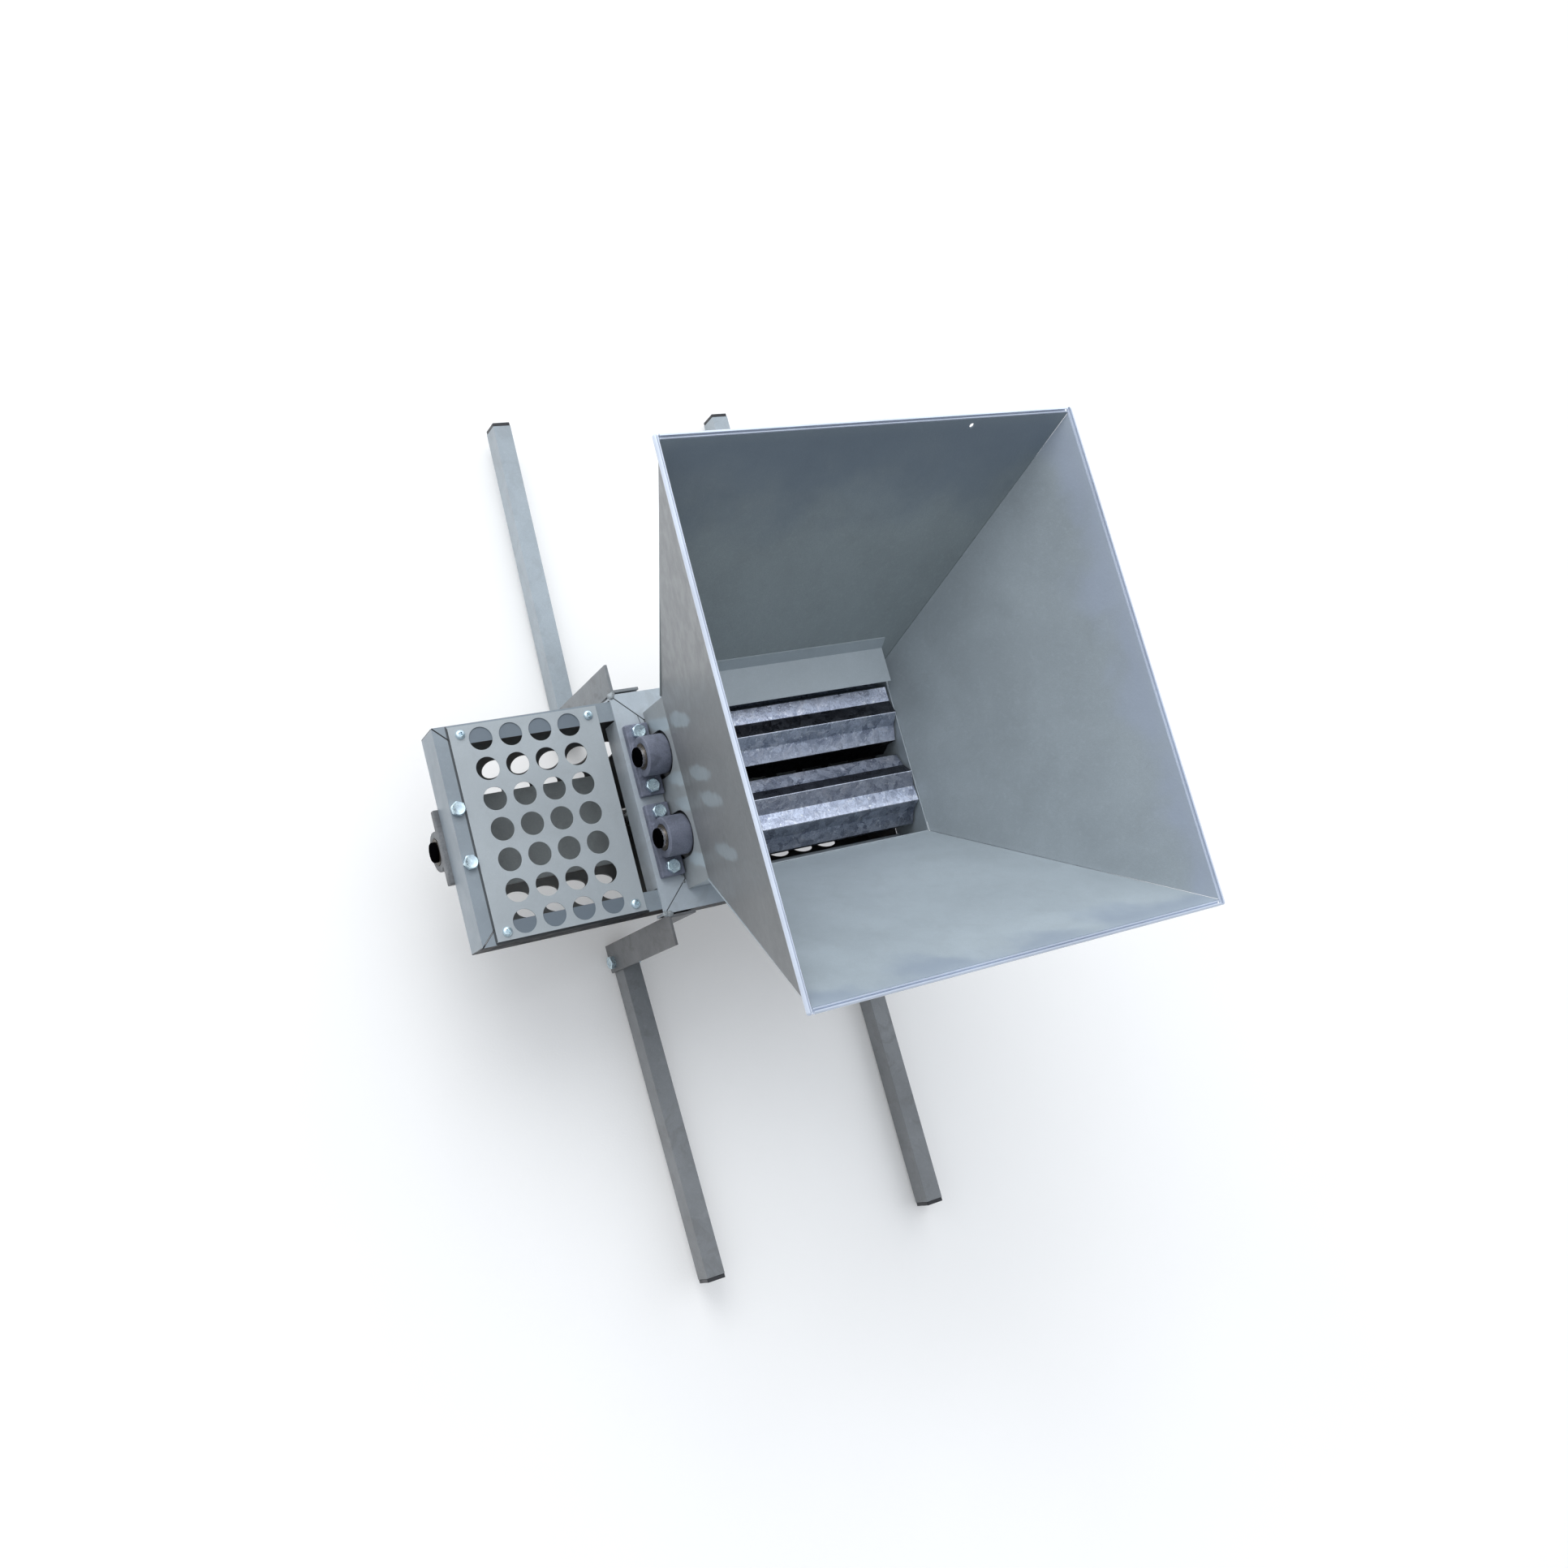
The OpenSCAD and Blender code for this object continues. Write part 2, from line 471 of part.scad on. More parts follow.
// ---- crank -------------------------------------------------------------
crank_a = -60;                    // crank angle at rest, from +Y towards +Z
module crank_arm() color(enamel_dark) at(200, -roller_y, roller_z) difference() {
  union() {
    rod(17, 15);
    along_x() rotate([0, 0, crank_a]) linear_extrude(8) difference() {
      union() {
        translate([0, -12.5]) square([crank_r, 25]);
        circle(r = 22);
        translate([crank_r, 0]) circle(r = 12.5);
      }
    }
  }
  translate([-1, 0, 0]) rod(shaft_r + 0.05, 20);
  rotate([crank_a, 0, 0]) translate([-1, crank_r, 0]) rod(5.05, 10);
}
module crank_at_pin() at(200, -roller_y, roller_z) rotate([crank_a, 0, 0]) translate([0, crank_r, 0]) children();
module crank_pin() color(zinc) crank_at_pin() union() {
  translate([-6, 0, 0]) rotate([0, 90, 0]) cylinder(r = 8.5, h = 6, $fn = 6);
  rod(5, 8 + grip_l + 6.5);
  translate([8 + grip_l + 1, 0, 0]) rod(8, 5);
}
module crank_grip() color(black) crank_at_pin() translate([8.5, 0, 0]) rotate([0, 90, 0])
  difference() {
    rotate_extrude() polygon([[0, 0], [11, 0], [12.5, 1.5], [14, 8], [15.2, grip_l * 0.35], [15.4, grip_l * 0.6], [14.2, grip_l - 12],
      [13.6, grip_l - 5], [12.5, grip_l - 1.5], [11, grip_l], [0, grip_l]]);
    translate([0, 0, -1]) cylinder(r = 5.06, h = grip_l + 2);
  }

// ---- legs --------------------------------------------------------------
// A leg seen from its hinge, reaching out along +Y.
leg_in = 9.5;                     // how far the tube runs inward past its hinge
module leg_tube() difference() {
  translate([-leg_w / 2, -leg_in, -leg_h / 2]) cube([leg_w, leg_l, leg_h]);
  translate([-leg_w / 2 + 2, -leg_in - 1, -leg_h / 2 + 2]) cube([leg_w - 4, leg_l + 2, leg_h - 4]);
  translate([-leg_w / 2 - 1, 0, 0]) rod(4.06, leg_w + 2);
}
module leg_cap() translate([0, leg_l - leg_in, 0]) {
  translate([-leg_w / 2, 0.05, -leg_h / 2]) cube([leg_w, 4, leg_h]);
  translate([-leg_w / 2 + 2.1, -12, -leg_h / 2 + 2.1]) cube([leg_w - 4.2, 12.1, leg_h - 4.2]);
}
left_leg_x = bracket_x0 + angle_t + 0.3 + leg_w / 2;
right_leg_x = bracket_x1 - angle_t - 0.3 - leg_w / 2;
module leg_at(x, s, tilt) at(x, s * hinge_y, hinge_z) scale([1, 1, 1]) mirror([0, s < 0 ? 1 : 0, 0]) rotate([tilt, 0, 0]) children();
module leg_front_left() color(enamel_dark) leg_at(left_leg_x, -1, tilt_left) leg_tube();
module leg_back_left() color(enamel_dark) leg_at(left_leg_x, 1, tilt_left) leg_tube();
module leg_front_right() color(enamel_dark) leg_at(right_leg_x, -1, tilt_right) leg_tube();
module leg_back_right() color(enamel_dark) leg_at(right_leg_x, 1, tilt_right) leg_tube();
module cap_front_left() color(black) leg_at(left_leg_x, -1, tilt_left) leg_cap();
module cap_back_left() color(black) leg_at(left_leg_x, 1, tilt_left) leg_cap();
module cap_front_right() color(black) leg_at(right_leg_x, -1, tilt_right) leg_cap();
module cap_back_right() color(black) leg_at(right_leg_x, 1, tilt_right) leg_cap();

module pivot_bolt() {
  rotate([0, -90, 0]) { cylinder(r = 6.4, h = 0.6); translate([0, 0, 0.6]) hex_head(4.9); }
  rod(4, 34);
}
module leg_pivot_bolts() color(zinc) for (s = [-1, 1]) {
  at(bracket_x0, s * hinge_y, hinge_z) pivot_bolt();
  at(bracket_x1, s * hinge_y, hinge_z) mirror([1, 0, 0]) pivot_bolt();
}
module leg_pivot_nuts() color(zinc) for (s = [-1, 1]) {
  at(left_leg_x + leg_w / 2 + 0.3, s * hinge_y, hinge_z) rotate([0, 90, 0]) nut();
  at(right_leg_x - leg_w / 2 - 0.3 - 6.5, s * hinge_y, hinge_z) rotate([0, 90, 0]) nut();
}

trough_left_rail();
trough_right_rail();
trough_front_rail();
trough_back_rail();
cover_plate();
cover_screws();
sieve_trough();
trough_end_plate();
frame_left_member();
frame_right_member();
frame_front_member();
frame_back_member();
bracket_front_left();
bracket_back_left();
bracket_front_right();
bracket_back_right();
hopper_left_wall();
hopper_right_wall();
hopper_front_wall();
hopper_back_wall();
neck_left_wall();
neck_right_wall();
neck_front_wall();
neck_back_wall();
guard_strip();
housing_front_left();
housing_back_left();
housing_front_right();
housing_back_right();
rotor_housing_left();
rotor_housing_right();
bearing_bushes();
bearing_bolts();
bearing_nuts();
roller_front_shaft();
roller_front_shell();
roller_front_discs();
roller_front_gear();
roller_back_shaft();
roller_back_shell();
roller_back_discs();
roller_back_gear();
rotor_drive_gear();
rotor_pinion();
rotor_shaft();
rotor_fingers();
discharge_paddle();
crank_arm();
crank_pin();
crank_grip();
leg_front_left();
leg_back_left();
leg_front_right();
leg_back_right();
cap_front_left();
cap_back_left();
cap_front_right();
cap_back_right();
leg_pivot_bolts();
leg_pivot_nuts();
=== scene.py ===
import bpy, bmesh, json, math, random
from mathutils import Vector, Matrix, noise


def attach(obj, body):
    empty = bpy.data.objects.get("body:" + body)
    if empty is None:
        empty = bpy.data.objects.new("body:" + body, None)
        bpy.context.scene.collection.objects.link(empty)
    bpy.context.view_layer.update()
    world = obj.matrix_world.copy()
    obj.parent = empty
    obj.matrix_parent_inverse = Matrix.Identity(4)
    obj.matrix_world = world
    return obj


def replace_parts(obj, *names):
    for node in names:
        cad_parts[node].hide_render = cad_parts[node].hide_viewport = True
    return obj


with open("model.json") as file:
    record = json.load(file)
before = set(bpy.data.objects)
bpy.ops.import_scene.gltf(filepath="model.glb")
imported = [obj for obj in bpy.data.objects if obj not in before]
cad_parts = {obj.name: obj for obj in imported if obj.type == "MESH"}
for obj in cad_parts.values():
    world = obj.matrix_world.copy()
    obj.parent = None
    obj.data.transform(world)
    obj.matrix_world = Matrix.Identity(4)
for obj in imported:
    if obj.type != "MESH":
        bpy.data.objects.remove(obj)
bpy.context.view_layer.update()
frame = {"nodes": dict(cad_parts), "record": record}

nodes = frame["nodes"]
body_of_node = {n: b for b, ns in frame["record"]["behaviour"]["bodies"].items() for n in ns}
scene = bpy.context.scene
rnd = random.Random(7)

# All lengths below are millimetres measured from the crusher's centre, as in the CAD source.
XC = 10.0
def P(x, y, z):
    return Vector(((x + XC) / 1000, y / 1000, z / 1000))

# ---------------------------------------------------------------- camera
cam_data = bpy.data.cameras.new("camera")
cam = bpy.data.objects.new("camera", cam_data)
scene.collection.objects.link(cam)
scene.camera = cam
cam_data.sensor_fit = "HORIZONTAL"
cam_data.sensor_width = 36.0
cam_data.lens = 36.33
cam_data.clip_start = 0.05
cam_data.clip_end = 50.0
rows = [(0.86880763, -0.25873653, 0.42217142),
        (-0.16282395, -0.95448523, -0.2498926),
        (0.46761273, 0.14836898, -0.87139255)]
right, down, ahead = (Vector(r).normalized() for r in rows)
m = Matrix((right, -down, -ahead)).transposed().to_4x4()
m.translation = Vector((-0.74786, -0.25051, 1.61521))
cam.matrix_world = m

# ---------------------------------------------------------------- material kit
class Tree:
    """Short calls for building a procedural material."""
    def __init__(self, name):
        self.mat = bpy.data.materials.new(name)
        self.mat.use_nodes = True
        self.nt = self.mat.node_tree
        self.bsdf = self.nt.nodes["Principled BSDF"]
        self.co = self.add("ShaderNodeTexCoord").outputs["Object"]

    def add(self, kind, **kw):
        n = self.nt.nodes.new(kind)
        for k, v in kw.items():
            setattr(n, k, v)
        return n

    def put(self, socket, value):
        if isinstance(value, bpy.types.NodeSocket):
            self.nt.links.new(value, socket)
        elif isinstance(value, (tuple, list)) and len(value) == 3 and socket.type == "RGBA":
            socket.default_value = (*value, 1)
        else:
            socket.default_value = value

    def mapped(self, scale=(1, 1, 1), loc=(0, 0, 0), rot=(0, 0, 0), vec=None):
        n = self.add("ShaderNodeMapping")
        self.put(n.inputs["Vector"], vec or self.co)
        n.inputs["Location"].default_value = loc
        n.inputs["Rotation"].default_value = rot
        n.inputs["Scale"].default_value = scale
        return n.outputs[0]

    def noise(self, scale, detail=3, rough=0.5, vec=None, warp=0.0):
        n = self.add("ShaderNodeTexNoise")
        self.put(n.inputs["Vector"], vec or self.co)
        n.inputs["Scale"].default_value = scale
        n.inputs["Detail"].default_value = detail
        n.inputs["Roughness"].default_value = rough
        n.inputs["Distortion"].default_value = warp
        return n.outputs["Fac"]

    def cells(self, scale, vec=None, feature="F1", rand=1.0):
        n = self.add("ShaderNodeTexVoronoi", feature=feature)
        self.put(n.inputs["Vector"], vec or self.co)
        n.inputs["Scale"].default_value = scale
        n.inputs["Randomness"].default_value = rand
        return n

    def math(self, op, a, b=0.0, clamp=False):
        n = self.add("ShaderNodeMath", operation=op, use_clamp=clamp)
        self.put(n.inputs[0], a)
        self.put(n.inputs[1], b)
        return n.outputs[0]

    def span(self, v, a, b, c=0.0, d=1.0, smooth=True):
        """v from a..b onto c..d, clamped."""
        n = self.add("ShaderNodeMapRange", interpolation_type="SMOOTHSTEP" if smooth else "LINEAR")
        self.put(n.inputs["Value"], v)
        n.inputs["From Min"].default_value, n.inputs["From Max"].default_value = a, b
        n.inputs["To Min"].default_value, n.inputs["To Max"].default_value = c, d
        return n.outputs["Result"]

    def mix(self, fac, a, b, mode="MIX"):
        n = self.add("ShaderNodeMix", data_type="RGBA", blend_type=mode)
        self.put(n.inputs[0], fac)
        self.put(n.inputs[6], a)
        self.put(n.inputs[7], b)
        return n.outputs[2]

    def axis(self, which, vec=None):
        n = self.add("ShaderNodeSeparateXYZ")
        self.put(n.inputs[0], vec or self.co)
        return n.outputs[which]

    def bump(self, height, dist, strength=1.0, after=None):
        n = self.add("ShaderNodeBump")
        n.inputs["Strength"].default_value = strength
        n.inputs["Distance"].default_value = dist
        self.put(n.inputs["Height"], height)
        if after is not None:
            self.put(n.inputs["Normal"], after)
        return n.outputs[0]

    # convex-edge mask from pointiness; the materials use it for painted edge highlights
    def edge(self, lo=0.52, hi=0.62):
        g = self.add("ShaderNodeNewGeometry")
        return self.span(g.outputs["Pointiness"], lo, hi)

    def done(self, color=None, rough=None, normal=None, metal=None, **consts):
        if color is not None: self.put(self.bsdf.inputs["Base Color"], color)
        if rough is not None: self.put(self.bsdf.inputs["Roughness"], rough)
        if normal is not None: self.put(self.bsdf.inputs["Normal"], normal)
        if metal is not None: self.put(self.bsdf.inputs["Metallic"], metal)
        for k, v in consts.items():
            self.bsdf.inputs[k.replace("_", " ")].default_value = v
        return self.mat


def paint(name, col, rough=0.36, dapple=0.05, cloud=0.06, smudge=0.0, peel=0.000018, wave=0.0, marks=(), grime=None, top=None, edge=0.25,
          joint_and_shadow_lines=(), front_face_shade=None, left_face_shade=0.0, cover_shade=None, coat=0.12):
    """Sprayed semi-gloss enamel: fine dapple, soft clouds, optional smudges and touch-up patches, with optional painted
    reflection bands by height, painted edge highlights, painted shade on faces that look left or to the front and under
    the cover, and dark joint lines and painted shadow lines.
    """
    t = Tree(name)
    light = tuple(min(1, c * 1.22 + 0.01) for c in col)
    dark = tuple(c * 0.72 for c in col)
    fine = t.noise(1300, 2, 0.6)
    mid = t.noise(240, 3, 0.55)
    big = t.noise(9, 4, 0.55, warp=0.4)
    c = t.mix(t.span(big, 0.3, 0.7, 0.5 - cloud * 4, 0.5 + cloud * 4, smooth=False), dark, light)
    c = t.mix(t.span(fine, 0.38, 0.62, 0, dapple * 5), c, dark)
    c = t.mix(t.span(mid, 0.5, 0.72, 0, dapple * 3), c, light)
    rsock = t.span(t.noise(60, 4, 0.6), 0.3, 0.7, rough - 0.05, rough + 0.09)
    if smudge > 0:
        s1 = t.span(t.noise(38, 5, 0.62, warp=1.1), 0.5, 0.66, 0, smudge)
        c = t.mix(s1, c, (col[0] * 0.62, col[1] * 0.58, col[2] * 0.55))
        s2 = t.span(t.noise(55, 4, 0.6, vec=t.mapped(loc=(3.1, 1.7, 0.4)), warp=0.8), 0.56, 0.7, 0, smudge * 0.7)
        c = t.mix(s2, c, light)
    if top is not None:                      # painted reflection: a soft tone band by height, from z0 to z1
        z0, z1, amount, reflection_col = top
        c = t.mix(t.span(t.math("ADD", t.axis("Z"), t.span(t.noise(14, 3), 0.3, 0.7, -0.02, 0.02)), z0, z1, 0, amount), c, reflection_col)
    for (cx, cy, cz, rx, ry, rz, amount, mcol) in marks:
        # soft slanting oval on a wall that faces along X: ry across it, rz along it
        def part(vy, vz):
            n = t.add("ShaderNodeVectorMath", operation="DOT_PRODUCT")
            t.put(n.inputs[0], t.co)
            n.inputs[1].default_value = (0, vy, vz)
            return t.math("SUBTRACT", n.outputs["Value"], (cy * vy + cz * vz) / 1000)
        q1 = part(1000 / ry, 250 / ry)
        q2 = part(0, 1000 / rz)
        far = t.math("SQRT", t.math("ADD", t.math("MULTIPLY", q1, q1), t.math("MULTIPLY", q2, q2)))
        d = t.math("ADD", far, t.span(t.noise(60, 3), 0.3, 0.7, -0.12, 0.12))
        g = t.add("ShaderNodeNewGeometry")      # on the outside of the sheet only
        outside = t.span(t.axis("X", g.outputs["Normal"]), -0.1, 0.1, 1, 0)
        c = t.mix(t.math("MULTIPLY", t.span(d, 0.65, 1.15, amount, 0), outside), c, mcol)
    # painted highlight: lighter paint along convex edges
    if edge > 0:
        c = t.mix(t.math("MULTIPLY", t.edge(0.53, 0.64), edge), c, light)
    spec = 0.5
    if left_face_shade > 0:                             # painted shade: faces that look to the left are darker
        g = t.add("ShaderNodeNewGeometry")
        c = t.mix(t.span(t.axis("X", g.outputs["Normal"]), -0.8, -0.4, left_face_shade, 0), c, (0.05, 0.052, 0.055))
    if cover_shade is not None:                    # painted shade on the rails where the cover lies over them
        x0, x1, half, amount, cover_shade_col = cover_shade
        f = t.math("MULTIPLY", t.span(t.axis("X"), (x0 + XC) / 1000, (x0 + XC + 0.6) / 1000, 0, 1),
                   t.span(t.axis("X"), (x1 + XC - 0.6) / 1000, (x1 + XC) / 1000, 1, 0))
        f = t.math("MULTIPLY", f, t.span(t.math("ABSOLUTE", t.axis("Y")), (half - 0.6) / 1000, half / 1000, 1, 0))
        c = t.mix(t.math("MULTIPLY", f, amount), c, cover_shade_col)
    if front_face_shade is not None:                      # painted shade on upright faces that look to the front: a dark brown tone, with less specular and coat
        amount, front_shade_col = front_face_shade
        g = t.add("ShaderNodeNewGeometry")
        ny = t.axis("Y", g.outputs["Normal"])
        front_shade = t.span(t.math("ADD", ny, t.span(mid, 0.3, 0.7, -0.08, 0.08)), -0.9, -0.55, 1, 0)
        c = t.mix(t.math("MULTIPLY", front_shade, amount), c, front_shade_col)
        spec = t.span(front_shade, 0, 1, 0.5, 0.02)
        coat = t.span(front_shade, 0, 1, coat, 0.0)
    for (x0, y0, x1, y1, w, amount) in joint_and_shadow_lines:
        # dark line from one plan point to another, w mm wide: for joints, and for painted shadow lines along the
        # cover's edges
        ln = math.hypot(x1 - x0, y1 - y0)
        ux, uy = (x1 - x0) / ln, (y1 - y0) / ln
        def along(vx, vy, px, py):
            n = t.add("ShaderNodeVectorMath", operation="DOT_PRODUCT")
            t.put(n.inputs[0], t.co)
            n.inputs[1].default_value = (vx, vy, 0)
            return t.math("SUBTRACT", n.outputs["Value"], ((px + XC) * vx + py * vy) / 1000)
        u = along(ux, uy, (x0 + x1) / 2, (y0 + y1) / 2)
        v = along(-uy, ux, x0, y0)
        near = t.span(t.math("ABSOLUTE", v), w / 2000, w / 2000 + 0.00035, 1, 0)
        inside = t.span(t.math("ABSOLUTE", u), ln / 2000, ln / 2000 + 0.0006, 1, 0)
        c = t.mix(t.math("MULTIPLY", t.math("MULTIPLY", near, inside), amount), c, (0.01, 0.011, 0.012))
    if grime is not None:
        c = t.mix(t.span(t.noise(70, 5, 0.65), 0.42, 0.68, 0, grime), c, (0.09, 0.075, 0.06))
    n1 = t.bump(t.noise(420, 2, 0.5), peel * 6, 1.0)
    n2 = t.bump(t.noise(1500, 1, 0.5), peel, 1.0, n1)
    if wave > 0:
        n2 = t.bump(t.noise(11, 2, 0.4), wave, 1.0, n2)
    t.put(t.bsdf.inputs["Specular IOR Level"], spec)
    t.put(t.bsdf.inputs["Coat Weight"], coat)
    return t.done(c, rsock, n2, Coat_Roughness=0.22)


LIGHT = (0.47, 0.52, 0.56)
MID = (0.27, 0.292, 0.300)
PATCH = (0.42, 0.51, 0.56)
# dark brown of the painted shade on faces that look to the front
FRONT_SHADE_BROWN = (0.035, 0.030, 0.027)
mats = {}
TS = [(-341, 107, -321, 87, 1.0, 0.95), (-341, -107, -321, -87, 1.0, 0.95), (-327, -106.2, -172, -106.2, 2.2, 0.95),
      (-327.2, 106, -327.2, -106, 1.2, 0.8)]      # trough frame's mitres, then painted shadow lines on the rails along the cover's front and left edges
CS = [(-155, 110, -128, 83, 0.9, 0.75), (-156, -111, -128, -83, 0.7, 0.8),         # crusher frame's mitres
      (-133.5, 88, -131.5, 73, 0.6, 0.7)]
# Both frames get a painted shade on upright faces that look to the front; the rails also get a painted shade where the
# cover lies over them.
mats["rail"] = paint("enamel_trough_frame", (0.265, 0.307, 0.34), 0.38, smudge=0.12, joint_and_shadow_lines=TS, front_face_shade=(0.95, FRONT_SHADE_BROWN),
                     cover_shade=(-326.4, -174, 105, 0.75, (0.115, 0.145, 0.175)))
mats["enamel"] = paint("enamel_frame", LIGHT, 0.38, smudge=0.22, joint_and_shadow_lines=CS, front_face_shade=(0.93, FRONT_SHADE_BROWN))
# the cover's dark lines along its left and front edges are painted shadow lines
mats["cover"] = paint("enamel_cover", (0.41, 0.448, 0.468), 0.40, dapple=0.03, cloud=0.04, smudge=0.08, peel=0.00001,
                      joint_and_shadow_lines=[(-326.4, 104, -326.4, -104, 0.5, 0.9), (-326, -105, -174, -105, 0.5, 0.95)])
# The hopper walls are one enamel painted wall by wall as light and shade: the front wall lighter as painted light, the
# back and left walls darker as painted shade; the band by height on the back, right and front walls is a painted
# reflection near the rim.
mats["hopper_back"] = paint("enamel_hopper_back_painted_shade", (0.27, 0.31, 0.32), 0.42, dapple=0.07, cloud=0.05, smudge=0.10, wave=0.0012,
                            top=(0.38, 0.49, 0.70, (0.13, 0.17, 0.22)))
mats["hopper_right"] = paint("enamel_hopper_right_painted_reflection", (0.355, 0.402, 0.43), 0.42, dapple=0.06, cloud=0.05, smudge=0.08, wave=0.0014,
                             top=(0.455, 0.503, 0.55, (0.36, 0.41, 0.52)))
mats["hopper_front"] = paint("enamel_hopper_front_painted_light", (0.392, 0.448, 0.483), 0.38, dapple=0.04, cloud=0.05, smudge=0.08, wave=0.0016,
                             top=(0.468, 0.503, 0.6, (0.24, 0.29, 0.37)))
wall_marks = [(-139.7, 52.5, 298.4, 30, 8.5, 50, 0.42, PATCH), (-146.6, -6.6, 326.8, 30, 8.5, 48, 0.38, PATCH),
              (-151.1, -35.4, 345.6, 30, 8, 48, 0.35, PATCH), (-153, -86.1, 353.3, 30, 8, 44, 0.33, PATCH)]
mats["hopper_left"] = paint("enamel_hopper_left_painted_shade", (0.185, 0.191, 0.194), 0.36, dapple=0.03, cloud=0.03, smudge=0.05, wave=0.0014,
                            marks=wall_marks)
neck_marks = [(-127, 67.2, 223.6, 30, 8, 30, 0.6, PATCH), (-127, 8.5, 237, 30, 8, 28, 0.5, PATCH),
              (-127, -17.9, 240.5, 30, 8, 28, 0.45, PATCH), (-127, -73.1, 236, 30, 8, 30, 0.55, PATCH)]
mats["neck_left"] = paint("enamel_neck_left", (0.32, 0.345, 0.355), 0.40, smudge=0.2, marks=neck_marks)
# The legs are one enamel: the back legs painted lighter as painted light, the front legs darker as painted shade, with
# a further painted shade on their faces that look to the left.
mats["leg_back"] = paint("enamel_back_legs_painted_light", (0.37, 0.42, 0.455), 0.36, dapple=0.06, cloud=0.09, smudge=0.2)
mats["leg_front"] = paint("enamel_front_legs_painted_shade", (0.215, 0.225, 0.232), 0.36, dapple=0.06, cloud=0.09, smudge=0.35, left_face_shade=0.12)
mats["leg_paint"] = paint("enamel_legs", MID, 0.36, dapple=0.06, cloud=0.09, smudge=0.4)
# The front brackets are painted darker than the back ones as painted shade.
mats["bracket_front"] = paint("enamel_front_brackets_painted_shade", (0.155, 0.157, 0.16), 0.42, dapple=0.05, cloud=0.09, smudge=0.55)
mats["bracket"] = paint("enamel_brackets", (0.205, 0.22, 0.23), 0.42, dapple=0.05, cloud=0.09, smudge=0.55)
# near-black enamel on the sieve trough and its end plate: painted shade inside the machine, with random grime patches
mats["inside"] = paint("enamel_inside_painted_shade", (0.075, 0.08, 0.08), 0.5, dapple=0.08, cloud=0.1, grime=0.6)
mats["paddle"] = paint("enamel_paddle", (0.25, 0.268, 0.268), 0.45, dapple=0.06, cloud=0.08, smudge=0.3)

def casting(name, col):
    t = Tree(name)
    grain = t.noise(700, 4, 0.65)
    pit = t.cells(520).outputs["Distance"]
    big = t.noise(45, 4, 0.6, warp=0.6)
    c = t.mix(t.span(big, 0.32, 0.68), tuple(k * 0.72 for k in col), tuple(k * 1.25 for k in col))
    c = t.mix(t.span(grain, 0.35, 0.7, 0, 0.45), c, tuple(k * 0.7 for k in col))
    # painted highlight: lighter tone along convex edges
    c = t.mix(t.math("MULTIPLY", t.edge(0.52, 0.6), 0.35), c, tuple(min(1, k * 1.8 + 0.02) for k in col))
    n = t.bump(grain, 0.00035, 1.0)
    n = t.bump(pit, 0.0002, 0.7, n)
    n = t.bump(t.noise(160, 3, 0.6), 0.0006, 1.0, n)
    return t.done(c, t.span(grain, 0.3, 0.7, 0.5, 0.68), n, Specular_IOR_Level=0.45)
mats["cast_paint"] = casting("cast_purple_grey", (0.175, 0.19, 0.245))
mats["cast_light"] = casting("cast_light_grey", (0.185, 0.19, 0.195))

def zinc(name, tint=(0.66, 0.80, 0.90)):
    t = Tree(name)
    big = t.noise(160, 4, 0.6, warp=0.5)
    brush = t.noise(500, 3, 0.6, vec=t.mapped(scale=(1, 0.15, 1)))
    c = t.mix(t.span(big, 0.3, 0.7), tuple(k * 0.8 for k in tint), tuple(min(1, k * 1.2) for k in tint))
    c = t.mix(t.span(t.noise(320, 3, 0.6), 0.58, 0.72, 0, 0.25), c, (0.45, 0.50, 0.50))
    n = t.bump(brush, 0.00008, 1.0)
    return t.done(c, t.span(t.noise(420, 3), 0.3, 0.7, 0.2, 0.42), n, metal=0.92)
mats["zinc"] = zinc("zinc_plated")

def machined(name, col, x_dark=None, metal=1.0, rough=(0.22, 0.42)):
    """Turned steel. x_dark gives (x0, x1): dark oxide from the left end x0 up to x1."""
    t = Tree(name)
    turn = t.noise(9, 2, 0.5, vec=t.mapped(scale=(260, 1, 1)))
    big = t.noise(70, 4, 0.6)
    c = t.mix(t.span(big, 0.3, 0.7), tuple(k * 0.75 for k in col), tuple(min(1, k * 1.2) for k in col))
    c = t.mix(t.span(turn, 0.35, 0.7, 0, 0.35), c, tuple(k * 0.6 for k in col))
    n = t.bump(turn, 0.00006, 1.0)
    r = t.span(t.noise(200, 3), 0.3, 0.7, rough[0], rough[1])
    mt = metal
    if x_dark:
        x0, x1 = ((v + XC) / 1000 for v in x_dark)
        edge_x = t.math("ADD", t.axis("X"), t.span(t.noise(900, 2), 0.3, 0.7, -0.0003, 0.0003))
        dark = t.span(edge_x, x1 - 0.0002, x1 + 0.0002, 1, 0)
        c = t.mix(dark, c, (0.0015, 0.0015, 0.002))
        r = t.math("ADD", r, t.math("MULTIPLY", dark, 0.15))
        mt = t.span(dark, 0, 1, metal, 0.0)
    return t.done(c, r, n, metal=mt, Specular_IOR_Level=0.0 if x_dark else 0.5)
mats["shaft"] = machined("steel_roller_shafts", (0.72, 0.70, 0.69), (-156, -152.6))
mats["rotor_shaft"] = machined("steel_rotor_shaft", (0.5, 0.49, 0.48), (-350.5, -343.4))
mats["steel"] = machined("steel_dark", (0.30, 0.31, 0.33), rough=(0.35, 0.55))
mats["bronze"] = machined("oiled_bronze_bushes", (0.10, 0.085, 0.065), rough=(0.3, 0.5), metal=0.7)

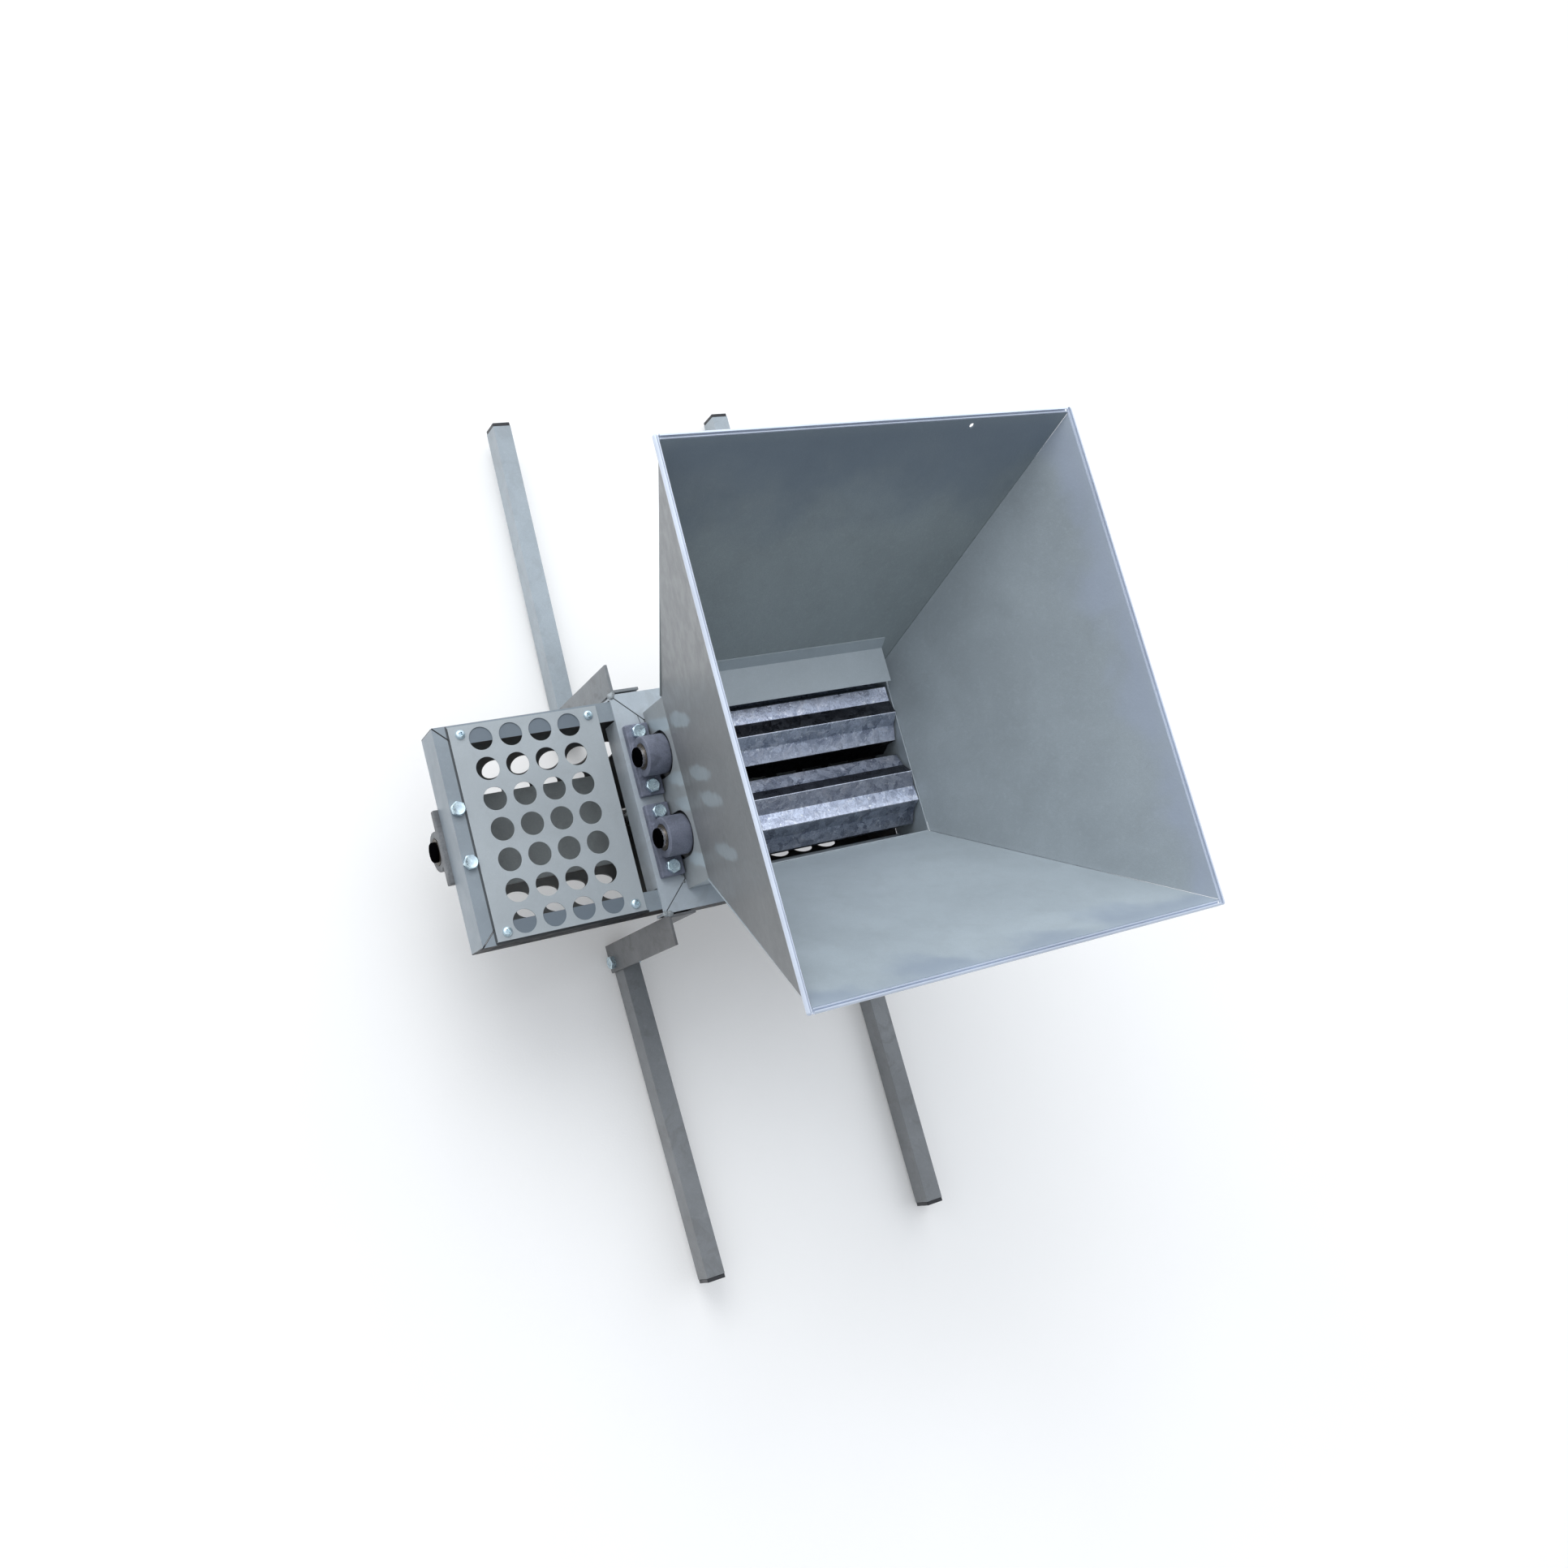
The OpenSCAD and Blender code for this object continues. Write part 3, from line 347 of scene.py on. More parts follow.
def galvanised(name, phase):
    """Hot-dip zinc: overlapping spangle crystals, grey frost and dark runs. Each folded
    face of the roller gets its own tone of painted light and shade; phase is the angle of the first ridge."""
    t = Tree(name)
    warp = t.add("ShaderNodeVectorMath", operation="ADD")
    nz = t.add("ShaderNodeTexNoise")
    t.put(nz.inputs["Vector"], t.co)
    nz.inputs["Scale"].default_value = 90
    nz.inputs["Detail"].default_value = 3
    sc = t.add("ShaderNodeVectorMath", operation="SCALE")
    t.put(sc.inputs[0], nz.outputs["Color"])
    sc.inputs["Scale"].default_value = 0.012
    t.put(warp.inputs[0], t.co)
    t.put(warp.inputs[1], sc.outputs[0])
    cell = t.cells(150, vec=warp.outputs[0])
    tone = t.axis("X", cell.outputs["Color"])
    fern = t.noise(420, 4, 0.7, warp=1.2)
    frost = t.noise(75, 5, 0.7, warp=1.0)
    c = t.mix(tone, (0.27, 0.30, 0.39), (0.58, 0.63, 0.75))
    c = t.mix(t.span(fern, 0.4, 0.65, 0, 0.5), c, (0.18, 0.20, 0.27))
    c = t.mix(t.span(frost, 0.50, 0.66, 0, 0.7), c, (0.60, 0.62, 0.70))
    c = t.mix(t.span(t.noise(240, 3, 0.6), 0.6, 0.72, 0, 0.8), c, (0.85, 0.88, 0.95))
    tex = t.add("ShaderNodeTexCoord")
    ang = t.math("ARCTAN2", t.axis("Z", tex.outputs["Normal"]), t.axis("Y", tex.outputs["Normal"]))
    turn = t.math("FRACT", t.math("DIVIDE", t.math("SUBTRACT", ang, math.radians(phase)), 2 * math.pi))
    ramp = t.add("ShaderNodeValToRGB")
    ramp.color_ramp.interpolation = "CONSTANT"
    els = ramp.color_ramp.elements
    stops = FACET_LIGHT_TONES[name]
    els[0].position, els[0].color = 0.0, (stops[0][1],) * 3 + (1,)
    els[1].position, els[1].color = stops[1][0] / 360, (stops[1][1],) * 3 + (1,)
    for a, k in stops[2:]:
        e = els.new(a / 360); e.color = (k, k, k, 1)
    t.put(ramp.inputs["Fac"], turn)
    # painted highlight along the roller's ridges
    c = t.mix(t.math("MULTIPLY", t.edge(0.52, 0.58), 0.6), c, (0.92, 0.94, 1.0))
    # painted light and shade: each face's tone multiplies the colour
    c = t.mix(1.0, c, ramp.outputs["Color"], "MULTIPLY")
    r = t.math("ADD", t.span(tone, 0, 1, 0.26, 0.46), t.span(fern, 0.35, 0.65, -0.05, 0.12))
    n = t.bump(tone, 0.00015, 1.0)
    n = t.bump(frost, 0.0009, 1.0, n)
    n = t.bump(fern, 0.00025, 1.0, n)
    return t.done(c, r, n, metal=0.92)
# (angle past the first ridge where a face's tone of painted light and shade starts, tone); a face leaves its ridge
# 35 degrees after it and meets the next one 10 degrees after it
def facet_light_stops(tones):
    out = []
    for i, k in enumerate(tones):
        out.append((i * 22.5, k))
    return out
# tones of painted light and shade in order of the face's own direction, 22.5 degrees apart, from 22.5 before the ridge
FACET_LIGHT_TONES = {
    "galvanised_front_facet_light": facet_light_stops([0.82, 1.35, 0.52, 0.75, 0.82, 0.5, 0.08, 0.08, 0.6, 0.8, 0.5, 0.7, 0.3, 0.05, 0.05, 0.16]),
    "galvanised_back_facet_light": facet_light_stops([1.25, 1.0, 0.9, 0.06, 0.05, 0.05, 0.5, 0.6, 0.7, 0.5, 0.6, 0.8, 0.5, 0.4, 0.8, 0.12])}
mats["galvanised_front_facet_light"] = galvanised("galvanised_front_facet_light", 72 - 22.5)
mats["galvanised_back_facet_light"] = galvanised("galvanised_back_facet_light", 99.2 - 22.5)

def plastic(name, col=(0.012, 0.012, 0.014), rough=0.38):
    t = Tree(name)
    grain = t.noise(1600, 2, 0.5)
    c = t.mix(t.span(t.noise(60, 4, 0.6), 0.35, 0.7), col, tuple(k * 1.9 for k in col))
    # painted highlight: lighter tone along convex edges
    c = t.mix(t.math("MULTIPLY", t.edge(0.52, 0.62), 0.4), c, tuple(k * 4 for k in col))
    n = t.bump(grain, 0.00006, 1.0)
    return t.done(c, t.span(t.noise(90, 3), 0.3, 0.7, rough - 0.06, rough + 0.12), n)
mats["black_plastic"] = plastic("black_plastic")

def weld_metal():
    t = Tree("painted_weld")
    c = t.mix(t.span(t.noise(300, 4, 0.6), 0.3, 0.7), (0.20, 0.215, 0.22), (0.42, 0.46, 0.48))
    c = t.mix(t.span(t.noise(700, 2, 0.6), 0.58, 0.7, 0, 0.5), c, (0.1, 0.085, 0.07))
    n = t.bump(t.noise(500, 3, 0.6), 0.0003, 1.0)
    return t.done(c, t.span(t.noise(300, 3), 0.3, 0.7, 0.25, 0.45), n)
mats["weld"] = weld_metal()

# ---------------------------------------------------------------- mesh kit
def new_object(name, me, material, body):
    o = bpy.data.objects.new(name, me)
    scene.collection.objects.link(o)
    me.materials.clear()
    me.materials.append(material)
    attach(o, body)
    return o

def shade(me, angle=32):
    """Smooth faces, with edges sharper than the angle kept sharp."""
    bm = bmesh.new()
    bm.from_mesh(me)
    lim = math.radians(angle)
    for f in bm.faces:
        f.smooth = True
    for e in bm.edges:
        e.smooth = not (len(e.link_faces) != 2 or e.calc_face_angle(0) > lim)
    bm.to_mesh(me)
    bm.free()

def mesh_from(bm, name):
    me = bpy.data.meshes.new(name)
    bmesh.ops.recalc_face_normals(bm, faces=bm.faces)
    bm.to_mesh(me)
    bm.free()
    return me

def add_bevel(o, width_mm, segs=2, angle=40, weight=False):
    b = o.modifiers.new("bevel", "BEVEL")
    b.width = width_mm / 1000
    b.segments = segs
    b.limit_method = "WEIGHT" if weight else "ANGLE"
    b.angle_limit = math.radians(angle)
    b.miter_outer = "MITER_ARC"
    b.use_clamp_overlap = True
    b.harden_normals = True
    return b

def refined(node, material, width=0.35, segs=2, angle=40, dissolve=True, weigh=None):
    """A copy of a CAD node with merged facets and softened edges, standing for the node."""
    bm = bmesh.new()
    bm.from_mesh(nodes[node].data)
    bmesh.ops.remove_doubles(bm, verts=bm.verts, dist=4e-6)
    if dissolve:
        bmesh.ops.dissolve_limit(bm, angle_limit=math.radians(0.6), use_dissolve_boundaries=False,
                                 verts=bm.verts, edges=bm.edges)
    if weigh is not None:
        lay = bm.edges.layers.float.new("bevel_weight_edge")
        for e in bm.edges:
            if len(e.link_faces) == 2 and e.calc_face_angle(0) > math.radians(angle):
                e[lay] = weigh(e)
    me = mesh_from(bm, node + "_look")
    shade(me)
    o = new_object(node + "_look", me, material, body_of_node[node])
    if width > 0:
        add_bevel(o, width, segs, angle, weigh is not None)
    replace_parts(o, node)
    return o

def melted(node, material, voxel=0.8, smooth=6):
    """A copy remeshed fine and relaxed, for castings with soft fillets."""
    me = nodes[node].data.copy()
    me.name = node + "_look"
    o = new_object(node + "_look", me, material, body_of_node[node])
    r = o.modifiers.new("remesh", "REMESH")
    r.mode = "VOXEL"
    r.voxel_size = voxel / 1000
    r.use_smooth_shade = True
    s = o.modifiers.new("relax", "SMOOTH")
    s.factor = 0.6
    s.iterations = smooth
    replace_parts(o, node)
    return o

def freeze(o):
    """Applies the object's modifiers."""
    dg = bpy.context.evaluated_depsgraph_get()
    dg.update()
    me = bpy.data.meshes.new_from_object(o.evaluated_get(dg))
    o.modifiers.clear()
    o.data = me

def sheet_solid(bm, grid_in, grid_out):
    """Closed sheet between two matching grids of points (rows along the profile)."""
    def rows_of(g):
        return [[bm.verts.new(p) for p in row] for row in g]
    a, b = rows_of(grid_in), rows_of(grid_out)
    n, k = len(a), len(a[0])
    for i in range(n - 1):
        for j in range(k - 1):
            bm.faces.new((a[i][j], a[i][j + 1], a[i + 1][j + 1], a[i + 1][j]))
            bm.faces.new((b[i][j], b[i + 1][j], b[i + 1][j + 1], b[i][j + 1]))
    for j in range(k - 1):
        bm.faces.new((a[0][j], b[0][j], b[0][j + 1], a[0][j + 1]))
        bm.faces.new((a[-1][j], a[-1][j + 1], b[-1][j + 1], b[-1][j]))
    for i in range(n - 1):
        bm.faces.new((a[i][0], a[i + 1][0], b[i + 1][0], b[i][0]))
        bm.faces.new((a[i][-1], b[i][-1], b[i + 1][-1], a[i + 1][-1]))

def offset_line(pts, d):
    """Points moved d to the right of the direction of travel, in the plane."""
    out = []
    for i, p in enumerate(pts):
        a = pts[max(0, i - 1)]
        b = pts[min(len(pts) - 1, i + 1)]
        t = (b - a).normalized()
        out.append(p + Vector((t.y, -t.x)) * d)
    return out

# ---------------------------------------------------------------- hopper walls
FOLD, RIM, HEM, LIP, T = 246.0, 503.0, 2.6, 3.2, 1.5

def hopper_wall(name, place, out, ends_fold, ends_rim, ends_hem, bow=None, hole=None, mat=None, dome=False):
    """place(along, outward, z) gives a point; outward is measured from the inner fold line."""
    up = RIM - FOLD
    prof = [Vector((0, FOLD)).lerp(Vector((out, RIM)), i / 20) for i in range(21)]
    inner, outer = prof, offset_line(prof, T)
    cols = 36
    def ends(z):
        f = min(1, max(0, (z - FOLD) / up))
        lo = ends_fold[0] + (ends_rim[0] - ends_fold[0]) * f
        hi = ends_fold[1] + (ends_rim[1] - ends_fold[1]) * f
        return lo, hi
    def grid(line):
        g = []
        for i, p in enumerate(line):
            q = prof[i]
            lo, hi = ends(q.y)
            row = []
            for j in range(cols + 1):
                s = j / cols
                s = 0.5 - 0.5 * math.cos(math.pi * s) if False else s
                x = lo + (hi - lo) * s
                b = bow(s) * ((q.y - FOLD) / up) ** 2 if bow else 0
                row.append(place(x, p.x + b, p.y))
            g.append(row)
        return g
    bm = bmesh.new()
    sheet_solid(bm, grid(inner), grid(outer))
    me = mesh_from(bm, name)
    shade(me, 30)
    o = new_object(name, me, mat, "frame")
    if hole:
        c, r = hole
        bmc = bmesh.new()
        bmesh.ops.create_cone(bmc, cap_ends=True, segments=32, radius1=r / 1000, radius2=r / 1000, depth=0.02,
                              matrix=Matrix.Translation(c) @ Matrix.Rotation(math.radians(62), 4, "X"))
        mc = bpy.data.meshes.new("cutter")
        bmc.to_mesh(mc); bmc.free()
        cut = bpy.data.objects.new("cutter", mc)
        scene.collection.objects.link(cut)
        bo = o.modifiers.new("hole", "BOOLEAN")
        bo.operation, bo.object, bo.solver = "DIFFERENCE", cut, "EXACT"
        bpy.context.view_layer.update()
        freeze(o)
        bpy.data.objects.remove(cut)
        shade(o.data, 30)
        o.data.materials.clear(); o.data.materials.append(mat)
    # rolled hem: a C-shaped curl of the sheet's edge, open underneath
    th = 1.1
    rows, arc = [], 26
    for i in range(arc + 1):
        a = math.radians(90 - 300 * i / arc)
        rows.append((math.cos(a), math.sin(a)))
    n = 48
    # where the rings of the curl stand along its length; a domed hem closes in at both ends
    lo, hi = ends_hem
    along = [lo + (hi - lo) * j / n for j in range(n + 1)]
    if dome:
        tips = [HEM * (1 - math.cos(math.radians(a))) for a in range(15, 91, 15)]
        along = [lo + k for k in tips] + [v for v in along if lo + HEM < v < hi - HEM] + [hi - k for k in reversed(tips)]
    def size(x):
        k = min(x - lo, hi - x)
        return math.sqrt(max(0.04, 1 - (1 - k / HEM) ** 2)) if dome and k < HEM else 1.0
    def hem_grid(r):
        g = []
        for (ca, sa) in rows:
            row = []
            for x in along:
                # the same bow as the wall, found at this point along it
                sw = min(1, max(0, (x - ends_rim[0]) / (ends_rim[1] - ends_rim[0])))
                b = bow(sw) if bow else 0
                row.append(place(x, out + LIP + b + r * size(x) * ca, RIM + r * size(x) * sa))
            g.append(row)
        return g
    bm = bmesh.new()
    sheet_solid(bm, hem_grid(HEM), hem_grid(HEM - th))
    me = mesh_from(bm, name + "_hem")
    shade(me, 40)
    h = new_object(name + "_hem", me, mats["hem"], "frame")
    return o, h

# the hem is the walls' enamel painted much lighter and bluer: a painted highlight of the sky along the rolled edge
mats["hem"] = paint("enamel_hem_painted_highlight", (0.66, 0.72, 0.84), 0.18, dapple=0.02, cloud=0.05, smudge=0.05, peel=0.000006, edge=0.0, coat=0.4)

NX, NF, NB = 127.0, 93.5, 90.0
RL, RR, RF, RB = 189.3, 240.0, 239.4, 241.2
place_front = lambda a, u, z: P(a, -NF - u, z)
place_back = lambda a, u, z: P(a, NB + u, z)
place_left = lambda a, u, z: P(-NX - u, a, z)
place_right = lambda a, u, z: P(NX + u, a, z)
left_bow = lambda s: 2.6 * math.sin(math.pi * min(1, max(0, s))) ** 1.0 * (0.35 + 0.65 * s)
fw = hopper_wall("hopper_front_wall_look", place_front, RF - NF, (-NX - 2.6, NX + 2.6), (-RL - 0.2, RR + 0.2),
                 (-RL + 0.4, RR - 0.4), mat=mats["hopper_front"])
bw = hopper_wall("hopper_back_wall_look", place_back, RB - NB, (-NX - 2.6, NX + 2.6), (-RL - 0.2, RR + 0.2),
                 (-RL + 0.4, RR - 0.4), mat=mats["hopper_back"], hole=(P(130.7, 90 + 151.2 * 251 / 257, 497), 2.5))
lw = hopper_wall("hopper_left_wall_look", place_left, RL - NX, (-NF + 0.5, NB - 0.5), (-RF + 0.5, RB - 0.5),
                 (-RF - LIP - HEM, RB + LIP + HEM), bow=left_bow, mat=mats["hopper_left"], dome=True)
rw = hopper_wall("hopper_right_wall_look", place_right, RR - NX, (-NF + 0.5, NB - 0.5), (-RF + 0.5, RB - 0.5),
                 (-RF - LIP - HEM, RB + LIP + HEM), mat=mats["hopper_right"], dome=True)
for (o, h), n in ((fw, "hopper_front_wall"), (bw, "hopper_back_wall"), (lw, "hopper_left_wall"), (rw, "hopper_right_wall")):
    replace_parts(o, n)

# ---------------------------------------------------------------- hardware
def hex_head_mesh(bm, centre, axis, h, af=13.0, spin=0.0, washer=6.4, washer_h=0.6, dish=0.25, hole=0.0):
    """Hexagon head or nut with a turned chamfer: the flats run into a cone at the top."""
    ax = axis.normalized()
    ref = Vector((0, 0, 1)) if abs(ax.z) < 0.9 else Vector((1, 0, 0))
    e1 = (ref - ax * ref.dot(ax)).normalized()
    e2 = ax.cross(e1)
    def at(r, a, z):
        return centre + (e1 * math.cos(a) * r + e2 * math.sin(a) * r + ax * z) / 1000
    seg = 72
    rc = af / 2 * 0.93
    rings = []
    if washer:
        rings += [("w", washer, 0), ("w", washer, washer_h * 0.8), ("w", washer - 0.25, washer_h)]
    z0 = washer_h if washer else 0
    def hexr(a):
        k = (a - spin) % (math.pi / 3) - math.pi / 6
        return af / 2 / math.cos(k)
    levels = []
    for kind, r, z in rings:
        levels.append([bm.verts.new(at(r, 2 * math.pi * i / seg, z)) for i in range(seg)])
    levels.append([bm.verts.new(at(hexr(2 * math.pi * i / seg) - 0.1, 2 * math.pi * i / seg, z0)) for i in range(seg)])
    top = []
    for i in range(seg):
        a = 2 * math.pi * i / seg
        r = hexr(a)
        top.append(bm.verts.new(at(r, a, z0 + h - 0.15 - max(0, r - rc) * 0.62)))
    levels.append(top)
    levels.append([bm.verts.new(at(rc, 2 * math.pi * i / seg, z0 + h)) for i in range(seg)])
    if hole:
        levels.append([bm.verts.new(at(hole + 0.5, 2 * math.pi * i / seg, z0 + h)) for i in range(seg)])
        levels.append([bm.verts.new(at(hole, 2 * math.pi * i / seg, z0 + h - 0.5)) for i in range(seg)])
        levels.append([bm.verts.new(at(hole, 2 * math.pi * i / seg, 0)) for i in range(seg)])
    else:
        levels.append([bm.verts.new(at(rc * 0.9, 2 * math.pi * i / seg, z0 + h - dish * 0.2)) for i in range(seg)])
        levels.append([bm.verts.new(at(rc * 0.78, 2 * math.pi * i / seg, z0 + h - dish)) for i in range(seg)])
    for a, b in zip(levels, levels[1:]):
        for i in range(seg):
            bm.faces.new((a[i], a[(i + 1) % seg], b[(i + 1) % seg], b[i]))
    if hole:
        a, b = levels[-1], levels[0]
        for i in range(seg):
            bm.faces.new((a[i], a[(i + 1) % seg], b[(i + 1) % seg], b[i]))
    else:
        bm.faces.new(levels[-1])
        bm.faces.new(list(reversed(levels[0])))

def threaded_rod(bm, p0, axis, length, r=4.0, pitch=1.25, plain=0.0):
    """A stud with turned thread ridges along its last part and a chamfered tip."""
    ax = axis.normalized()
    ref = Vector((0, 0, 1)) if abs(ax.z) < 0.9 else Vector((1, 0, 0))
    e1 = (ref - ax * ref.dot(ax)).normalized()
    e2 = ax.cross(e1)
    seg = 28
    zs = [(0, r), (plain, r)]
    z = plain
    while z < length - 1.4:
        zs += [(z + pitch * 0.25, r - 0.55), (z + pitch * 0.75, r), (z + pitch, r)]
        z += pitch
    zs += [(length - 0.8, r), (length, r - 0.8)]
    last = None
    for k, (zz, rr) in enumerate(zs):
        ring = [bm.verts.new(p0 + (e1 * math.cos(2 * math.pi * i / seg) * rr + e2 * math.sin(2 * math.pi * i / seg) * rr + ax * zz) / 1000) for i in range(seg)]
        if last:
            for i in range(seg):
                bm.faces.new((last[i], last[(i + 1) % seg], ring[(i + 1) % seg], ring[i]))
        else:
            bm.faces.new(list(reversed(ring)))
        last = ring
    bm.faces.new(last)

UP, DN = Vector((0, 0, 1)), Vector((0, 0, -1))
FX, RFX0, RFX1, ROLLY, PITCH = 141.0, -333.9, 144.5, 41.25, 56.0
bolt_bm, nut_bm = bmesh.new(), bmesh.new()
spins = [0.3, 0.75, 0.1, 0.55, 0.9, 0.2, 0.65, 0.45]
i = 0
for x in (-FX, FX):
    for s in (-1, 1):
        for k in (-1, 1):
            y = s * ROLLY + k * PITCH / 2
            hex_head_mesh(bolt_bm, P(x, y, 198), UP, 4.9, spin=spins[i % 8])
            end = 177 if x < 0 else 174
            threaded_rod(bolt_bm, P(x, y, 198.1), DN, 198.1 - end, plain=8)
            hex_head_mesh(nut_bm, P(x, y, 187 if x < 0 else 184), DN, 6.4, washer=0, hole=4.0, spin=spins[(i + 3) % 8])
            i += 1
for k in (-1, 1):
    y = k * (PITCH - 4) / 2
    hex_head_mesh(bolt_bm, P(RFX0, y, 187), UP, 4.9, spin=0.35 + 0.3 * k)
    threaded_rod(bolt_bm, P(RFX0, y, 187.1), DN, 58.1, plain=40)
    threaded_rod(bolt_bm, P(RFX1, y, 184), DN, 55, plain=36)
    for x in (RFX0, RFX1):
        hex_head_mesh(nut_bm, P(x, y, 139), DN, 6.4, washer=0, hole=4.0, spin=0.2 + k * 0.25)
for bmx, nm, node in ((bolt_bm, "bearing_bolts_look", "bearing_bolts"), (nut_bm, "bearing_nuts_look", "bearing_nuts")):
    me = mesh_from(bmx, nm)
    shade(me, 24)
    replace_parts(new_object(nm, me, mats["zinc"], "frame"), node)

pb, pn = bmesh.new(), bmesh.new()
BX0, BX1, HY, HZ, LW, LH = -155.0, 151.0, 134.0, 14.0, 20.0, 26.0
TILT_L, TILT_R = 3.2, 1.0
LLX, RLX = BX0 + 3.3 + LW / 2, BX1 - 3.3 - LW / 2
for s in (-1, 1):
    hex_head_mesh(pb, P(BX0, s * HY, HZ), Vector((-1, 0, 0)), 4.9, spin=0.25 * s + 0.1)
    threaded_rod(pb, P(BX0 - 0.1, s * HY, HZ), Vector((1, 0, 0)), 34.1, plain=22)
    hex_head_mesh(pb, P(BX1, s * HY, HZ), Vector((1, 0, 0)), 4.9, spin=0.4)
    threaded_rod(pb, P(BX1 + 0.1, s * HY, HZ), Vector((-1, 0, 0)), 34.1, plain=22)
    hex_head_mesh(pn, P(LLX + LW / 2 + 0.3, s * HY, HZ), Vector((1, 0, 0)), 6.4, washer=0, hole=4.0, spin=0.3)
    hex_head_mesh(pn, P(RLX - LW / 2 - 0.3, s * HY, HZ), Vector((-1, 0, 0)), 6.4, washer=0, hole=4.0, spin=0.3)
for bmx, nm, node in ((pb, "leg_pivot_bolts_look", "leg_pivot_bolts"), (pn, "leg_pivot_nuts_look", "leg_pivot_nuts")):
    me = mesh_from(bmx, nm)
    shade(me, 24)
    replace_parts(new_object(nm, me, mats["zinc"], "frame"), node)

# cross-recess pan-head screws on the cover
sb = bmesh.new()
def pan_head(bm, c, spin):
    seg = 96
    prof = [(4.7, 0), (4.75, 0.7), (4.6, 1.3), (4.2, 1.9), (3.5, 2.4), (2.6, 2.7), (2.35, 2.75)]
    rings = []
    for r, z in prof:
        rings.append([bm.verts.new(c + Vector((r * math.cos(2 * math.pi * i / seg), r * math.sin(2 * math.pi * i / seg), z)) / 1000) for i in range(seg)])
    def arm(a):
        # not used: returns None; the cross recess is cut in the rings below
        return None
    for a, b in zip(rings, rings[1:]):
        for i in range(seg):
            bm.faces.new((a[i], a[(i + 1) % seg], b[(i + 1) % seg], b[i]))
    # inside: rings whose height drops inside the cross
    last = rings[-1]
    for r in (2.3, 2.15, 1.9, 1.6, 1.3, 1.0, 0.75, 0.5, 0.25):
        ring = []
        for i in range(seg):
            a = 2 * math.pi * i / seg
            x, y = r * math.cos(a - spin), r * math.sin(a - spin)
            w = 0.62
            inside = (abs(x) < w and abs(y) < 2.2) or (abs(y) < w and abs(x) < 2.2)
            z = 2.8 - (1.9 if inside else 0)
            ring.append(bm.verts.new(c + Vector((r * math.cos(a), r * math.sin(a), z)) / 1000))
        for i in range(seg):
            bm.faces.new((last[i], last[(i + 1) % seg], ring[(i + 1) % seg], ring[i]))
        last = ring
    bm.faces.new(last)
    bm.faces.new(list(reversed(rings[0])))
for (x, y, sp) in ((-315, -96.5, 0.5), (-315, 96.5, 1.1), (-184, -96.5, 0.2), (-184, 96.5, 0.8)):
    pan_head(sb, P(x, y, 188), sp)
    threaded_rod(sb, P(x, y, 188), DN, 12, r=2.1, pitch=0.9, plain=1)
me = mesh_from(sb, "cover_screws_look")
shade(me, 30)
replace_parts(new_object("cover_screws_look", me, mats["zinc"], "frame"), "cover_screws")

# ---------------------------------------------------------------- refined CAD pieces
for n in ("trough_left_rail", "trough_right_rail", "trough_front_rail", "trough_back_rail"):
    refined(n, mats["rail"], 0.55, 2)
for n in ("frame_left_member", "frame_right_member", "frame_front_member", "frame_back_member"):
    refined(n, mats["enamel"], 0.55, 2)
for n in ("bracket_front_left", "bracket_back_left", "bracket_front_right", "bracket_back_right"):
    refined(n, mats["bracket_front" if "front" in n else "bracket"], 0.5, 2)
refined("cover_plate", mats["cover"], 0.22, 2)
refined("guard_strip", mats["hopper_right"], 0.5, 2)
refined("neck_left_wall", mats["neck_left"], 0.3, 2)
refined("neck_right_wall", mats["hopper_right"], 0.3, 2)
for n in ("neck_front_wall", "neck_back_wall"):
    refined(n, mats["hopper_right"], 0.3, 2)
refined("trough_end_plate", mats["inside"], 0.3, 2)
refined("discharge_paddle", mats["paddle"], 0.5, 2)
refined("rotor_fingers", mats["paddle"], 0.5, 2)
refined("roller_front_shell", mats["galvanised_front_facet_light"], 0.9, 3, angle=20)
refined("roller_back_shell", mats["galvanised_back_facet_light"], 0.9, 3, angle=20)
refined("crank_arm", mats["bracket"], 0.8, 3)
refined("crank_pin", mats["zinc"], 0.4, 2)
refined("crank_grip", mats["black_plastic"], 0.0)
for n in ("housing_front_left", "housing_back_left", "housing_front_right", "housing_back_right"):
    melted(n, mats["cast_paint"], 0.8, 5)
for n in ("rotor_housing_left", "rotor_housing_right"):
    melted(n, mats["cast_light"], 0.8, 5)

def leg_local(s, tilt, x0):
    """Matrix from the leg's own frame (reaching out along +Y from its hinge) to the model."""
    flip = Matrix.Diagonal((1, -1 if s < 0 else 1, 1, 1))
    return Matrix.Translation(P(x0, s * HY, HZ)) @ flip @ Matrix.Rotation(math.radians(tilt), 4, "X")
for nm, s, x0, tilt in (("front_left", -1, LLX, TILT_L), ("back_left", 1, LLX, TILT_L), ("front_right", -1, RLX, TILT_R), ("back_right", 1, RLX, TILT_R)):
    inv = leg_local(s, tilt, x0).inverted()
    def corner(e, inv=inv):
        a, b = (inv @ v.co for v in e.verts)
        if all(abs(abs(q.x) - LW / 2000) < 2e-5 and abs(abs(q.z) - LH / 2000) < 2e-5 for q in (a, b)) and abs(a.y - b.y) > 1e-4:
            return 1.0
        return 0.18
    refined("leg_" + nm, mats["leg_front" if "front" in nm else "leg_back"], 1.8, 4, weigh=corner)
    refined("cap_" + nm, mats["black_plastic"], 1.8, 4, weigh=lambda e, c=corner: 1.0 if c(e) == 1.0 else 0.4)

